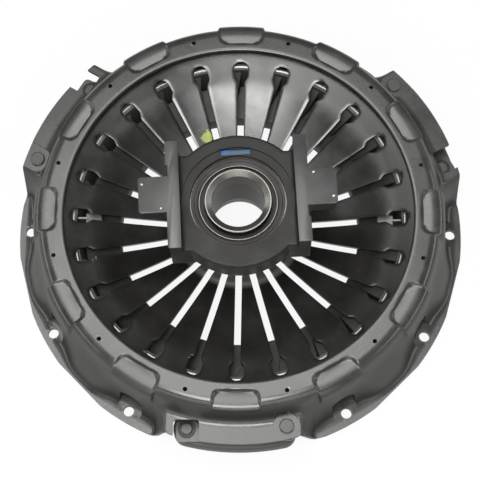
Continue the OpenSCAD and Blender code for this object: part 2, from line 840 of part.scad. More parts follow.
module bearing_housing() {
    bore_r = outer_race_d / 2 + slip;
    mouth_z = face_z - step_depth;
    color("#3b3c3a") rotate([0, 0, housing_turn]) difference() {
        union() {
            housing_body();
            housing_cheek();
            mirror([1, 0, 0]) housing_cheek();
        }
        translate([0, 0, bottom_z - 1]) cylinder(r = bore_r, h = race_top + seat - bottom_z + 1);
        translate([0, 0, bottom_z - 1]) cylinder(d = mouth_d, h = far);
        translate([0, 0, mouth_z - 2]) cylinder(d1 = mouth_d, d2 = mouth_d + 4, h = 2 + eps);
        translate([0, 0, mouth_z]) cylinder(d = step_d, h = 10);
        translate([0, 0, circlip_z - slip]) cylinder(r = bore_r + circlip_groove, h = circlip_t + 2 * slip);
        clip_slot(seat);
    }
}

// Wear plates: T-shaped sheets on the cheeks and ears
module wear_plate() {
    inner = cheek_gap / 2;
    corner = 3;
    tip = wear_span / 2;
    notch = 2.2;
    translate([0, 0, wear_z + seat]) difference() {
        union() {
            translate([inner, -wear_l / 2, 0]) cube([wear_strip_w, wear_l, wear_t]);
            translate([inner + 1, -wear_tab_w / 2 + corner, 0])
                cube([tip - inner - 1, wear_tab_w - 2 * corner, wear_t]);
            translate([inner + 1, -wear_tab_w / 2, 0])
                cube([tip - inner - 1 - corner, wear_tab_w, wear_t]);
            for (s = [-1, 1]) translate([tip - corner, s * (wear_tab_w / 2 - corner), 0])
                cylinder(r = corner, h = wear_t);
        }
        translate([inner + wear_strip_w - notch, -wear_tab_w / 2 - 12, -1])
            cube([notch + 1, 12, wear_t + 2]);
        at_studs() translate([0, 0, -1]) cylinder(d = stud_d + 2 * slip, h = wear_t + 2);
    }
}

module at_studs() {
    translate([ear_span / 2 - outer_stud_in, -outer_stud_off, 0]) children();
    translate([cheek_gap / 2 + inner_stud_in, inner_stud_off, 0]) children();
}

module wear_plate_right() {
    color("#595b57") rotate([0, 0, housing_turn]) wear_plate();
}

module wear_plate_left() {
    color("#595b57") rotate([0, 0, housing_turn + 180]) wear_plate();
}

module wear_plate_rivets() {
    dome = stud_d / 2;
    color("#d0d0cc") for (side = [0, 180]) rotate([0, 0, housing_turn + side])
        translate([0, 0, wear_z + seat]) at_studs() {
            cylinder(d = stud_d, h = wear_t);
            translate([0, 0, wear_t]) intersection() {
                sphere(r = dome);
                cylinder(r = dome + 1, h = dome);
            }
        }
}

module lock_clip() {
    color("#2f6fb5") rotate([0, 0, housing_turn]) difference() {
        clip_slot(0);
        translate([-clip_w, mouth_d / 2 - 2, face_z - step_depth - 1]) cube([2 * clip_w, clip_h + 8, 40]);
    }
}

cover();
fulcrum_ring();
diaphragm_spring();
pressure_plate();
stop_blocks();
drive_straps_a();
drive_straps_b();
drive_straps_c();
cover_rivets();
plate_rivets();
plate_washers();
bearing_sleeve();
guide_bush();
support_ring();
preload_spring();
pull_ring();
snap_ring();
inner_race();
outer_race();
bearing_balls();
ball_cage();
face_seal();
rear_shield();
race_circlip();
bearing_housing();
wear_plate_left();
wear_plate_right();
wear_plate_rivets();
lock_clip();
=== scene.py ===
"""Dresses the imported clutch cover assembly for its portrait.

The camera stands where the photograph was taken from. The turned parts of the release bearing keep
their CAD shapes and get finishes; the pressed, cast and sprung parts are modelled again here with
their soft edges, each in the place of its CAD node. Sizes are in millimetres and degrees unless a
comment says otherwise. The shaft is the Z axis, and the flywheel's face is at height 0.
"""

import json
import logging
import math
from contextlib import contextmanager
from dataclasses import dataclass, field
from enum import Enum
from typing import Callable, Iterator, Sequence

import bpy
from mathutils import Matrix, Vector

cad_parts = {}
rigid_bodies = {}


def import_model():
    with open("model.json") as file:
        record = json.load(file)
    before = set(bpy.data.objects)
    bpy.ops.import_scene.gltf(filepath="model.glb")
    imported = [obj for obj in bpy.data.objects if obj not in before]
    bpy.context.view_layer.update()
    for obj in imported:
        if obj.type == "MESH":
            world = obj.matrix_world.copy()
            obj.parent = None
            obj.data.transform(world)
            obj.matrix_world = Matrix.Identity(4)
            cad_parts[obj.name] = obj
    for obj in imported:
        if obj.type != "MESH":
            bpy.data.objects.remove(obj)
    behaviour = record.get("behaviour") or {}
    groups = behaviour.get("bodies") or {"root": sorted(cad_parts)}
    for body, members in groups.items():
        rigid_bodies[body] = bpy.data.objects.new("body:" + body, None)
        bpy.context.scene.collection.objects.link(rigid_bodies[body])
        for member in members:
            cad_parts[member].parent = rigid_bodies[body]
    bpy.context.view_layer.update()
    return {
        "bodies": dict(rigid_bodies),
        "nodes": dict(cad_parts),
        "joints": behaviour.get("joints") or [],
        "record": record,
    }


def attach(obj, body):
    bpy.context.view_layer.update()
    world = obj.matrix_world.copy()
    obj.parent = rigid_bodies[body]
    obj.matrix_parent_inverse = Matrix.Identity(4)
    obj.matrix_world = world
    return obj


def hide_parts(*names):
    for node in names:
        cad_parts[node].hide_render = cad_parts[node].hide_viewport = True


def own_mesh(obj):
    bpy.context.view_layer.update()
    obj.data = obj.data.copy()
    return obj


Colour = tuple[float, float, float]
Point = tuple[float, float]

MM = 0.001
LOG = logging.getLogger("clutch")

# Azimuths of the strap bridges and of the flange's bolts
BRIDGES = (270.0, 30.0, 150.0)
BOLTS = (0.0, 60.0, 90.0, 120.0, 180.0, 210.0, 240.0, 300.0, 330.0)
# How far the bearing's housing is turned about the shaft
HOUSING_TURN = 3.7
MIRROR_X = Matrix.Scale(-1.0, 4, (1, 0, 0))


# --------------------------------------------------------------------------- numbers and places


def polar(radius: float, degrees: float, height: float = 0.0) -> Vector:
    """Gives the point at a radius, azimuth and height."""
    turn = math.radians(degrees)
    return Vector((radius * math.cos(turn), radius * math.sin(turn), height))


def turned(degrees: float) -> Matrix:
    """Gives a turn about the shaft."""
    return Matrix.Rotation(math.radians(degrees), 4, "Z")


def bridge_frame(bridge: float) -> Matrix:
    """Gives the frame of the bridge at an azimuth: Y outwards, X towards its cover rivet."""
    return turned(bridge - 90.0) @ MIRROR_X


def mix(first: float, second: float, share: float) -> float:
    """Blends two numbers."""
    return first + (second - first) * share


def smooth(low: float, high: float, value: float) -> float:
    """Rises smoothly from 0 at low to 1 at high."""
    t = min(1.0, max(0.0, (value - low) / (high - low)))
    return t * t * (3.0 - 2.0 * t)


def soft_ramp(share: float, soft: float) -> float:
    """Follows a straight ramp from 0 to 1 whose two ends are rounded.

    Args:
        share: The place along the ramp, where the straight one would run from 0 to 1.
        soft: How far before and after each end it is rounded.

    Returns:
        The height there.
    """
    if share < soft:
        return max(0.0, share + soft) ** 2 / (4.0 * soft)
    if share > 1.0 - soft:
        return 1.0 - max(0.0, 1.0 + soft - share) ** 2 / (4.0 * soft)
    return share


def along(path: Sequence[Point], place: float) -> Point:
    """Follows a smooth curve through a path's points.

    Args:
        path: The points.
        place: The place along it, where each point counts one.

    Returns:
        The point there.
    """
    last = len(path) - 1
    low = min(max(int(place), 0), last - 1)
    t = place - low
    near = [path[min(max(low + k, 0), last)] for k in (-1, 0, 1, 2)]
    found = []
    for a, b, c, d in zip(*near):
        bend = 2 * a - 5 * b + 4 * c - d + t * (3 * (b - c) + d - a)
        found.append(b + 0.5 * t * (c - a + t * bend))
    return found[0], found[1]


def off_nearest(degrees: float, places: Sequence[float]) -> float:
    """Measures how far an azimuth is past the nearest of some others, or short of it."""
    return min(((degrees - p + 180.0) % 360.0 - 180.0 for p in places), key=abs)


def arc_points(x: float, y: float, radius: float, start: float, end: float,
               steps: int = 8) -> list[Point]:
    """Lists the points of an arc.

    Args:
        x: The centre's first coordinate.
        y: The centre's second coordinate.
        radius: The arc's radius.
        start: The angle it starts at.
        end: The angle it ends at.
        steps: How many steps it takes.

    Returns:
        The points, both ends included.
    """
    angles = [math.radians(start + (end - start) * i / steps) for i in range(steps + 1)]
    return [(x + radius * math.cos(a), y + radius * math.sin(a)) for a in angles]


# --------------------------------------------------------------------------- modelling


def clear_selection() -> None:
    """Leaves edit mode and deselects everything."""
    if bpy.context.object is not None and bpy.context.object.mode != "OBJECT":
        bpy.ops.object.mode_set(mode="OBJECT")
    bpy.ops.object.select_all(action="DESELECT")


def pick(*chosen: bpy.types.Object) -> None:
    """Selects some objects and nothing else.

    Args:
        *chosen: The objects. The first becomes the active one.
    """
    clear_selection()
    for obj in chosen:
        obj.select_set(True)
    bpy.context.view_layer.objects.active = chosen[0]


def named(name: str) -> bpy.types.Object:
    """Names the object that was just added."""
    bpy.context.object.name = name
    return bpy.context.object


def settle(obj: bpy.types.Object) -> None:
    """Moves an object's place, turn and scale into its mesh."""
    pick(obj)
    bpy.ops.object.transform_apply(location=True, rotation=True, scale=True)


@contextmanager
def editing(obj: bpy.types.Object) -> Iterator[None]:
    """Opens a mesh in edit mode with all of it selected, and closes it afterwards.

    Args:
        obj: The mesh's object.

    Returns:
        The context in which mesh operators act on it.
    """
    pick(obj)
    bpy.ops.object.mode_set(mode="EDIT")
    bpy.ops.mesh.select_all(action="SELECT")
    yield
    bpy.ops.object.mode_set(mode="OBJECT")


def close_shell(merge: float = 0.0) -> None:
    """Merges the doubles of the mesh that is being edited and turns its faces outwards.

    Args:
        merge: The distance within which points merge, or 0 to merge none.
    """
    bpy.ops.mesh.select_all(action="SELECT")
    if merge > 0.0:
        bpy.ops.mesh.remove_doubles(threshold=merge * MM)
    bpy.ops.mesh.normals_make_consistent(inside=False)


def face_up(obj: bpy.types.Object) -> None:
    """Turns an open surface over if most of it faces down.

    Args:
        obj: The surface.
    """
    if sum(p.normal.z * p.area for p in obj.data.polygons) < 0:
        with editing(obj):
            bpy.ops.mesh.flip_normals()


def move_mesh(obj: bpy.types.Object, frame: Matrix) -> None:
    """Moves a mesh to a frame, and keeps its faces outwards where the frame mirrors it.

    Args:
        obj: The mesh's object.
        frame: The frame.
    """
    obj.data.transform(frame)
    if frame.determinant() < 0:
        obj.data.flip_normals()


def apply_modifier(obj: bpy.types.Object, kind: str, **settings: object) -> None:
    """Adds a modifier with settings and applies it at once.

    Args:
        obj: The object to change.
        kind: The modifier's type.
        **settings: Values for the modifier.
    """
    pick(obj)
    made = obj.modifiers.new(kind.lower(), kind)
    for name, value in settings.items():
        setattr(made, name, value)
    bpy.ops.object.modifier_apply(modifier=made.name)


def bevel(obj: bpy.types.Object, width: float, segments: int, sharpest: float) -> None:
    """Rounds the edges that turn by more than an angle."""
    apply_modifier(obj, "BEVEL", width=width * MM, segments=segments, limit_method="ANGLE",
                   angle_limit=math.radians(sharpest))


def cut(obj: bpy.types.Object, tool: bpy.types.Object, how: str = "DIFFERENCE") -> None:
    """Cuts a tool out of an object, or adds it, and removes the tool."""
    apply_modifier(obj, "BOOLEAN", object=tool, operation=how, solver="MANIFOLD")
    bpy.data.objects.remove(tool, do_unlink=True)


def soften(obj: bpy.types.Object, sharpest: float) -> None:
    """Shades an object smooth, apart from edges sharper than an angle."""
    pick(obj)
    bpy.ops.object.shade_smooth_by_angle(angle=math.radians(sharpest))


def join(parts: Sequence[bpy.types.Object], name: str) -> bpy.types.Object:
    """Joins meshes into the first.

    Args:
        parts: The meshes' objects.
        name: The name of what they become.

    Returns:
        The joined object.
    """
    pick(*parts)
    bpy.ops.object.join()
    parts[0].name = parts[0].data.name = name
    return parts[0]


def twin(part: bpy.types.Object) -> bpy.types.Object:
    """Copies an object together with its mesh.

    Args:
        part: The object.

    Returns:
        The copy.
    """
    made = part.copy()
    made.data = part.data.copy()
    bpy.context.scene.collection.objects.link(made)
    return made


def copies_round(part: bpy.types.Object, angles: Sequence[float]) -> list[bpy.types.Object]:
    """Copies a part round the shaft, each copy with its own mesh.

    Args:
        part: The part at azimuth 0.
        angles: The azimuths of all, of which the part itself takes the first.

    Returns:
        The part and its copies.
    """
    made = [part] + [twin(part) for _ in angles[1:]]
    for obj, angle in zip(made, angles):
        obj.data.transform(turned(angle))
    return made


def cylinder(name: str, radius: float, low: float, high: float, segments: int,
             at: Vector = Vector((0.0, 0.0, 0.0))) -> bpy.types.Object:
    """Adds an upright cylinder.

    Args:
        name: The object's name.
        radius: The radius.
        low: The lower height.
        high: The upper height.
        segments: How many sides it has.
        at: A point on its axis.

    Returns:
        The settled object.
    """
    clear_selection()
    bpy.ops.mesh.primitive_cylinder_add(
        vertices=segments, radius=radius * MM, depth=(high - low) * MM,
        location=(at.x * MM, at.y * MM, (low + high) / 2 * MM))
    made = named(name)
    settle(made)
    return made


def block(name: str, low: Sequence[float], high: Sequence[float]) -> bpy.types.Object:
    """Adds a box.

    Args:
        name: The object's name.
        low: The lowest corner.
        high: The highest corner.

    Returns:
        The settled object.
    """
    clear_selection()
    centre = [(a + b) / 2 * MM for a, b in zip(low, high)]
    bpy.ops.mesh.primitive_cube_add(size=1.0, location=centre)
    made = named(name)
    made.scale = [(b - a) * MM for a, b in zip(low, high)]
    settle(made)
    return made


def grid_surface(name: str, rows: int, columns: int, place: Callable[[int, int], Vector],
                 merge: float = 0.0) -> bpy.types.Object:
    """Adds a grid and shapes it point by point.

    Args:
        name: The object's name.
        rows: How many points it has across.
        columns: How many points it has along.
        place: Gives the point for a row's and a column's number.
        merge: The distance within which points merge, where the grid meets itself.

    Returns:
        The shaped object.
    """
    clear_selection()
    bpy.ops.mesh.primitive_grid_add(x_subdivisions=columns - 1, y_subdivisions=rows - 1, size=2.0)
    made = named(name)
    for vertex in made.data.vertices:
        column = round((vertex.co.x + 1.0) / 2.0 * (columns - 1))
        row = round((vertex.co.y + 1.0) / 2.0 * (rows - 1))
        vertex.co = place(row, column) * MM
    with editing(made):
        close_shell(merge)
    return made


def traced(name: str, corners: Sequence[Sequence[float]], fill: str) -> bpy.types.Object:
    """Adds a circle with a point for each corner of an outline, and moves its points there.

    Args:
        name: The object's name.
        corners: The corners.
        fill: What fills the circle.

    Returns:
        The outline's object.
    """
    clear_selection()
    bpy.ops.mesh.primitive_circle_add(vertices=len(corners), radius=1.0, fill_type=fill)
    made = named(name)
    for vertex, corner in zip(made.data.vertices, corners):
        vertex.co = [value * MM for value in corner]
    return made


def spun(name: str, outline: Sequence[Point], steps: int) -> bpy.types.Object:
    """Spins a closed outline of radius and height once round the shaft.

    Args:
        name: The object's name.
        outline: The corners.
        steps: How many steps the spin takes.

    Returns:
        The closed solid.
    """
    made = traced(name, [(radius, 0.0, height) for radius, height in outline], "NOTHING")
    with editing(made):
        bpy.ops.mesh.spin(steps=steps, angle=2 * math.pi, center=(0, 0, 0), axis=(0, 0, 1))
        close_shell(0.005)
    return made


def prism(name: str, outline: Sequence[Point], low: float, high: float,
          frame: Matrix = Matrix.Identity(4)) -> bpy.types.Object:
    """Extrudes an outline between two heights.

    Args:
        name: The object's name.
        outline: The corners.
        low: The lower height.
        high: The upper height.
        frame: The frame that the result is moved to.

    Returns:
        The closed solid.
    """
    made = traced(name, [(x, y, low) for x, y in outline], "NGON")
    with editing(made):
        rise = {"value": (0, 0, (high - low) * MM)}
        bpy.ops.mesh.extrude_region_move(TRANSFORM_OT_translate=rise)
        close_shell()
    move_mesh(made, frame)
    return made


# --------------------------------------------------------------------------- finishes


class Effect(Enum):
    """The shared shader effects."""

    GRAIN = "surface_grain"
    WEAR = "edge_wear"
    FILM = "oil_film"


class Net:
    """Adds and wires the nodes of one material, world or node group."""

    def __init__(self, tree: bpy.types.NodeTree) -> None:
        """Takes the tree that the nodes go into."""
        self.tree = tree

    def feed(self, node: bpy.types.Node, feeds: dict[str | int, object]) -> None:
        """Gives a node's inputs what they read.

        Args:
            node: The node.
            feeds: A value or another node's output, for each input's name or number.
        """
        for name, value in feeds.items():
            if isinstance(value, bpy.types.NodeSocket):
                self.tree.links.new(value, node.inputs[name])
            else:
                node.inputs[name].default_value = value

    def add(self, kind: str, feeds: dict[str | int, object] | None = None,
            **settings: object) -> bpy.types.Node:
        """Adds a node.

        Args:
            kind: The node's type, without its leading ShaderNode.
            feeds: What its inputs read.
            **settings: The node's own settings.

        Returns:
            The node.
        """
        made = self.tree.nodes.new("ShaderNode" + kind)
        for name, value in settings.items():
            setattr(made, name, value)
        self.feed(made, feeds or {})
        return made

    def group(self, effect: Effect, feeds: dict[str | int, object]) -> bpy.types.Node:
        """Places one of the shared effects."""
        return self.add("Group", feeds, node_tree=effect_group(effect))

    def place(self) -> bpy.types.NodeSocket:
        """Reads the point in the piece's own coordinates, in metres."""
        return self.add("TexCoord").outputs["Object"]

    def noise(self, scale: object, **feeds: float) -> bpy.types.NodeSocket:
        """Adds a noise with so many features per metre."""
        made = self.add("TexNoise", {"Vector": self.place(), "Scale": scale, **feeds})
        return made.outputs["Fac"]

    def maths(self, operation: str, *values: object) -> bpy.types.NodeSocket:
        """Works out one operation on one or two numbers."""
        return self.add("Math", dict(enumerate(values)), operation=operation).outputs[0]

    def rise(self, value: bpy.types.NodeSocket, low: float, high: float,
             **settings: object) -> bpy.types.NodeSocket:
        """Maps a number so that it runs from 0 at low to 1 at high, and no further."""
        feeds = {"Value": value, "From Min": low, "From Max": high}
        return self.add("MapRange", feeds, **settings).outputs["Result"]

    def blend(self, share: bpy.types.NodeSocket, first: object,
              second: Colour | float) -> bpy.types.NodeSocket:
        """Blends two colours or two numbers.

        Args:
            share: The share of the second.
            first: The first, as a value or a node's output.
            second: The second.

        Returns:
            The blend.
        """
        feeds = {"Factor": share}
        for end, value in (("A", first), ("B", second)):
            feeds[end] = (*value, 1.0) if isinstance(value, tuple) else value
        kind = "RGBA" if isinstance(second, tuple) else "FLOAT"
        return self.add("Mix", feeds, data_type=kind).outputs["Result"]

    def sockets(self, inputs: dict[str, float],
                outputs: Sequence[str]) -> tuple[bpy.types.Node, bpy.types.Node]:
        """Gives a node group its sockets.

        Args:
            inputs: The inputs' names and their plain values.
            outputs: The outputs' names.

        Returns:
            The nodes that lead into the group and out of it.
        """
        panel, kind = self.tree.interface, "NodeSocketFloat"
        for name, value in inputs.items():
            made = panel.new_socket(name=name, in_out="INPUT", socket_type=kind)
            made.default_value = value
        for name in outputs:
            panel.new_socket(name=name, in_out="OUTPUT", socket_type=kind)
        return self.tree.nodes.new("NodeGroupInput"), self.tree.nodes.new("NodeGroupOutput")


def effect_group(effect: Effect) -> bpy.types.ShaderNodeTree:
    """Builds one of the shared effects once, and gives it each time it is asked for.

    Args:
        effect: Which effect.

    Returns:
        The node group.
    """
    if effect.value in bpy.data.node_groups:
        return bpy.data.node_groups[effect.value]
    tree = bpy.data.node_groups.new(effect.value, "ShaderNodeTree")
    net = Net(tree)
    if effect is Effect.GRAIN:
        enter, leave = net.sockets({"Scale": 300.0, "Blotch Scale": 25.0}, ("Height", "Blotch"))
        blotch = net.noise(enter.outputs["Blotch Scale"], Detail=5.0, Roughness=0.6)
        net.feed(leave, {"Height": net.noise(enter.outputs["Scale"], Detail=4.0),
                         "Blotch": net.rise(blotch, 0.35, 0.65)})
        return tree
    enter, leave = net.sockets({"Amount": 0.5, "Scale": 90.0}, ("Mask",))
    if effect is Effect.WEAR:
        spots = net.rise(net.noise(enter.outputs["Scale"], Detail=6.0), 0.4, 0.6)
        edges = net.rise(net.add("NewGeometry").outputs["Pointiness"], 0.57, 0.7)
        mask = net.maths("MULTIPLY", edges, spots)
    else:
        patches = net.noise(enter.outputs["Scale"], Detail=7.0, Distortion=0.8)
        mask = net.rise(patches, 0.45, 0.7)
    net.feed(leave, {"Mask": net.maths("MULTIPLY", mask, enter.outputs["Amount"])})
    return tree


@dataclass(frozen=True)
class SteepShade:
    """Painted shade for upright faces: a darker colour that stands in for the shade they fall
    into, with a rougher finish.

    The limits are the upward shares of the normal between which the look fades in.
    """

    colour: Colour
    roughness: float
    limits: Point = (0.72, 0.38)

    def mask(self, net: Net) -> bpy.types.NodeSocket:
        """Finds the upright faces.

        Args:
            net: The material's nodes.

        Returns:
            1 on upright faces and 0 on level ones.
        """
        normal = net.add("NewGeometry").outputs["Normal"]
        upward = net.add("SeparateXYZ", {"Vector": normal}).outputs["Z"]
        return net.rise(net.maths("ABSOLUTE", upward), *self.limits,
                        interpolation_type="SMOOTHSTEP")


@dataclass(frozen=True)
class RubbedTipSheen:
    """Bright finger tips inside a radius, fading out by a second one, both in metres.

    Partly steel rubbed bright by the pull ring, partly a painted highlight for the glints where
    the fingers bend.
    """

    inner: float
    outer: float
    colour: Colour
    roughness: float

    def mask(self, net: Net) -> bpy.types.NodeSocket:
        """Finds the band.

        Args:
            net: The material's nodes.

        Returns:
            1 inside the inner radius and 0 outside the outer one.
        """
        level = {0: net.place(), 1: (1.0, 1.0, 0.0)}
        flat = net.add("VectorMath", level, operation="MULTIPLY").outputs["Vector"]
        reach = net.add("VectorMath", {0: flat}, operation="LENGTH").outputs["Value"]
        return net.rise(reach, self.outer, self.inner)


@dataclass(frozen=True)
class Mark:
    """A dab of paint: its place and reach in metres, and its colour.

    A noise makes its edge ragged, which lies where the noise times the distance from the place
    is between the two shares of the reach.
    """

    place: tuple[float, float, float]
    reach: float
    colour: Colour
    noise_scale: float = 160.0
    edge: Point = (0.55, 0.45)

    def mask(self, net: Net) -> bpy.types.NodeSocket:
        """Finds the dab.

        Args:
            net: The material's nodes.

        Returns:
            1 on the dab and 0 elsewhere.
        """
        ends = {0: net.place(), 1: self.place}
        gap = net.add("VectorMath", ends, operation="DISTANCE").outputs["Value"]
        ragged = net.maths("MULTIPLY", gap, net.noise(self.noise_scale))
        return net.rise(ragged, *(self.reach * share for share in self.edge))


@dataclass(frozen=True)
class Finish:
    """A finish with grain, blotches, worn edges and an oily film.

    Colours are linear. Scales count features per metre.
    """

    name: str
    colour: Colour
    second: Colour
    metallic: float
    roughness: float
    roughness_spread: float = 0.08
    grain_scale: float = 900.0
    grain_depth: float = 0.15
    blotch_scale: float = 30.0
    wear: float = 0.0
    wear_colour: Colour = (0.5, 0.5, 0.48)
    wear_scale: float = 120.0
    film: float = 0.0
    film_colour: Colour = (0.02, 0.02, 0.018)
    film_scale: float = 14.0
    coat: float = 0.0
    coat_roughness: float = 0.12
    specular: float = 0.5
    bump_height: float = 0.0004
    # Painted shade laid over upright faces, darker than the finish's own colour.
    steep_shade: SteepShade | None = None
    # Bright finger tips: partly rubbed steel, partly a painted highlight.
    tip: RubbedTipSheen | None = None
    mark: Mark | None = None

    def build(self) -> bpy.types.Material:
        """Builds the material, or gives it if it exists already.

        Returns:
            The material.
        """
        title = self.name + "_finish"
        if title in bpy.data.materials:
            return bpy.data.materials[title]
        made = bpy.data.materials.new(title)
        made.use_nodes = True
        net = Net(made.node_tree)
        grain = net.group(Effect.GRAIN, {"Scale": self.grain_scale,
                                         "Blotch Scale": self.blotch_scale})
        blotch = grain.outputs["Blotch"]
        colour = net.blend(blotch, self.colour, self.second)
        for effect, amount, tint, scale in (
                (Effect.FILM, self.film, self.film_colour, self.film_scale),
                (Effect.WEAR, self.wear, self.wear_colour, self.wear_scale)):
            if amount > 0:
                mask = net.group(effect, {"Amount": amount, "Scale": scale}).outputs["Mask"]
                colour = net.blend(mask, colour, tint)
        ends = {"To Min": max(0.02, self.roughness - self.roughness_spread),
                "To Max": min(1.0, self.roughness + self.roughness_spread)}
        roughness = net.add("MapRange", {"Value": blotch, **ends}).outputs["Result"]
        coat = self.coat
        # Blend in the painted shade on upright faces, and the bright finger tips, which are part
        # rubbed steel and part painted highlight.
        for place in (self.steep_shade, self.tip):
            if place is not None:
                mask = place.mask(net)
                colour = net.blend(mask, colour, place.colour)
                roughness = net.blend(mask, roughness, place.roughness)
                if place is self.steep_shade:
                    coat = net.blend(mask, self.coat, 0.0)
        if self.mark is not None:
            colour = net.blend(self.mark.mask(net), colour, self.mark.colour)
        bump = net.add("Bump", {"Strength": self.grain_depth, "Distance": self.bump_height,
                                "Height": grain.outputs["Height"]})
        net.feed(made.node_tree.nodes["Principled BSDF"], {
            "Base Color": colour, "Roughness": roughness, "Normal": bump.outputs["Normal"],
            "Metallic": self.metallic, "Specular IOR Level": self.specular,
            "Coat Weight": coat, "Coat Roughness": self.coat_roughness})
        return made


# The steep colour is painted shade on the cover's walls, which also loses its coat there.
COVER_SHEET = Finish(
    "cover_sheet", (0.039, 0.0405, 0.0365), (0.06, 0.0625, 0.0565), 0.25, 0.28, 0.05,
    grain_scale=420, grain_depth=0.1, wear=0.45, wear_colour=(0.42, 0.42, 0.4), film=0.35,
    film_colour=(0.035, 0.033, 0.028), coat=0.22, specular=0.65,
    steep_shade=SteepShade((0.026, 0.026, 0.0235), 0.5, (0.78, 0.42)))
# The tip colour is partly rubbed steel, partly a painted highlight for the glints at the fingers'
# bends.
SPRING_STEEL = Finish(
    "spring_steel", (0.0108, 0.0102, 0.0084), (0.0165, 0.0156, 0.013), 0.2, 0.24, 0.04,
    grain_scale=1200, grain_depth=0.04, wear=0.7, wear_colour=(0.35, 0.35, 0.33), film=0.15,
    specular=1.0, tip=RubbedTipSheen(0.067, 0.071, (0.11, 0.11, 0.1), 0.16),
    mark=Mark((-0.0365, 0.0955, 0.0425), 0.0062, (0.3, 0.36, 0.05)))
# The steep colour is painted shade on the plate's sides and ribs.
CAST_PLATE = Finish(
    "cast_plate", (0.055, 0.056, 0.05), (0.1, 0.101, 0.09), 0.2, 0.5, grain_scale=500,
    grain_depth=0.35, film=0.3, steep_shade=SteepShade((0.028, 0.028, 0.025), 0.55))
RIDGE_STEEL = Finish(
    "ridge_steel", (0.2, 0.2, 0.19), (0.26, 0.26, 0.25), 0.8, 0.3, grain_depth=0.05)
BLOCK_STEEL = Finish(
    "block_steel", (0.22, 0.22, 0.21), (0.3, 0.3, 0.29), 0.5, 0.45, film=0.2)
STRAP_STEEL = Finish(
    "strap_steel", (0.07, 0.07, 0.066), (0.1, 0.1, 0.095), 0.8, 0.35, wear=0.3)
RIVET_STEEL = Finish(
    "rivet_steel", (0.06, 0.06, 0.056), (0.09, 0.09, 0.085), 0.4, 0.36, wear=0.3)
# Near black, a painted shadow: the washers under the plate rivets stand in for the dark ring of
# shade round the rivet heads.
SHADOW_BLACK_WASHER = Finish("dark_washer", (0.01, 0.01, 0.01), (0.018, 0.018, 0.017), 0.3, 0.4)
# The steep colour is painted shade on the walls of the sleeve's bore.
SLEEVE_STEEL = Finish(
    "sleeve_steel", (0.17, 0.165, 0.15), (0.23, 0.225, 0.205), 0.9, 0.27, grain_depth=0.03,
    steep_shade=SteepShade((0.03, 0.024, 0.017), 0.42, (0.3, 0.1)))
# The steep colour is painted shade on the walls of the bush's bore.
BUSH_STEEL = Finish(
    "bush_steel", (0.03, 0.027, 0.02), (0.06, 0.05, 0.035), 0.8, 0.34, grain_depth=0.04,
    steep_shade=SteepShade((0.014, 0.011, 0.008), 0.45))
DARK_STEEL = Finish("dark_steel", (0.03, 0.03, 0.03), (0.05, 0.05, 0.048), 0.6, 0.42)
# Near black, far darker than the outer race.
DARK_INNER_RACE = Finish(
    "dark_inner_race", (0.012, 0.0115, 0.01), (0.022, 0.021, 0.018), 0.3, 0.4, specular=0.3)
WIRE_STEEL = Finish("wire_steel", (0.2, 0.2, 0.19), (0.28, 0.28, 0.27), 0.9, 0.35)
RACE_STEEL = Finish(
    "race_steel", (0.5, 0.5, 0.48), (0.58, 0.58, 0.55), 0.95, 0.22, grain_depth=0.02)
BALL_STEEL = Finish(
    "ball_steel", (0.75, 0.75, 0.74), (0.8, 0.8, 0.79), 1.0, 0.08, grain_depth=0.0)
CAGE_PLASTIC = Finish("cage_plastic", (0.3, 0.22, 0.1), (0.36, 0.27, 0.13), 0.0, 0.5)
SEAL_RUBBER = Finish(
    "seal_rubber", (0.016, 0.011, 0.009), (0.026, 0.018, 0.015), 0.0, 0.45, grain_depth=0.1)
SEAL_RIM = Finish(
    "seal_rim", (0.11, 0.108, 0.1), (0.2, 0.197, 0.185), 0.9, 0.3, grain_depth=0.02)
CAST_HOUSING = Finish(
    "cast_housing", (0.0135, 0.0128, 0.011), (0.0205, 0.0196, 0.0172), 0.25, 0.5,
    grain_scale=420, grain_depth=0.4, wear=0.35, wear_colour=(0.1, 0.1, 0.095), film=0.25)
WEAR_STEEL = Finish(
    "wear_steel", (0.085, 0.087, 0.084), (0.11, 0.112, 0.108), 0.5, 0.42, grain_depth=0.08,
    wear=0.3, film=0.08)
BRIGHT_RIVET = Finish("bright_rivet", (0.55, 0.55, 0.54), (0.65, 0.65, 0.63), 0.95, 0.25)
BLUE_PLASTIC = Finish(
    "blue_plastic", (0.006, 0.06, 0.2), (0.012, 0.1, 0.3), 0.0, 0.35, grain_depth=0.03)
CLIP_GREY = Finish(
    "clip_grey", (0.05, 0.085, 0.1), (0.08, 0.12, 0.135), 0.3, 0.4, grain_depth=0.03)

NODE_FINISHES: dict[str, Finish] = {
    "cover": COVER_SHEET, "fulcrum_ring": WIRE_STEEL, "diaphragm_spring": SPRING_STEEL,
    "pressure_plate": CAST_PLATE, "stop_blocks": BLOCK_STEEL, "drive_straps_a": STRAP_STEEL,
    "drive_straps_b": STRAP_STEEL, "drive_straps_c": STRAP_STEEL, "cover_rivets": RIVET_STEEL,
    "plate_rivets": RIVET_STEEL, "plate_washers": SHADOW_BLACK_WASHER, "bearing_sleeve": SLEEVE_STEEL,
    "guide_bush": BUSH_STEEL, "support_ring": DARK_STEEL, "preload_spring": DARK_STEEL,
    "pull_ring": DARK_STEEL, "snap_ring": WIRE_STEEL, "inner_race": DARK_INNER_RACE,
    "outer_race": RACE_STEEL, "bearing_balls": BALL_STEEL, "ball_cage": CAGE_PLASTIC,
    "face_seal": SEAL_RUBBER, "rear_shield": DARK_STEEL, "race_circlip": WIRE_STEEL,
    "bearing_housing": CAST_HOUSING, "wear_plate_left": WEAR_STEEL,
    "wear_plate_right": WEAR_STEEL, "wear_plate_rivets": BRIGHT_RIVET, "lock_clip": BLUE_PLASTIC}


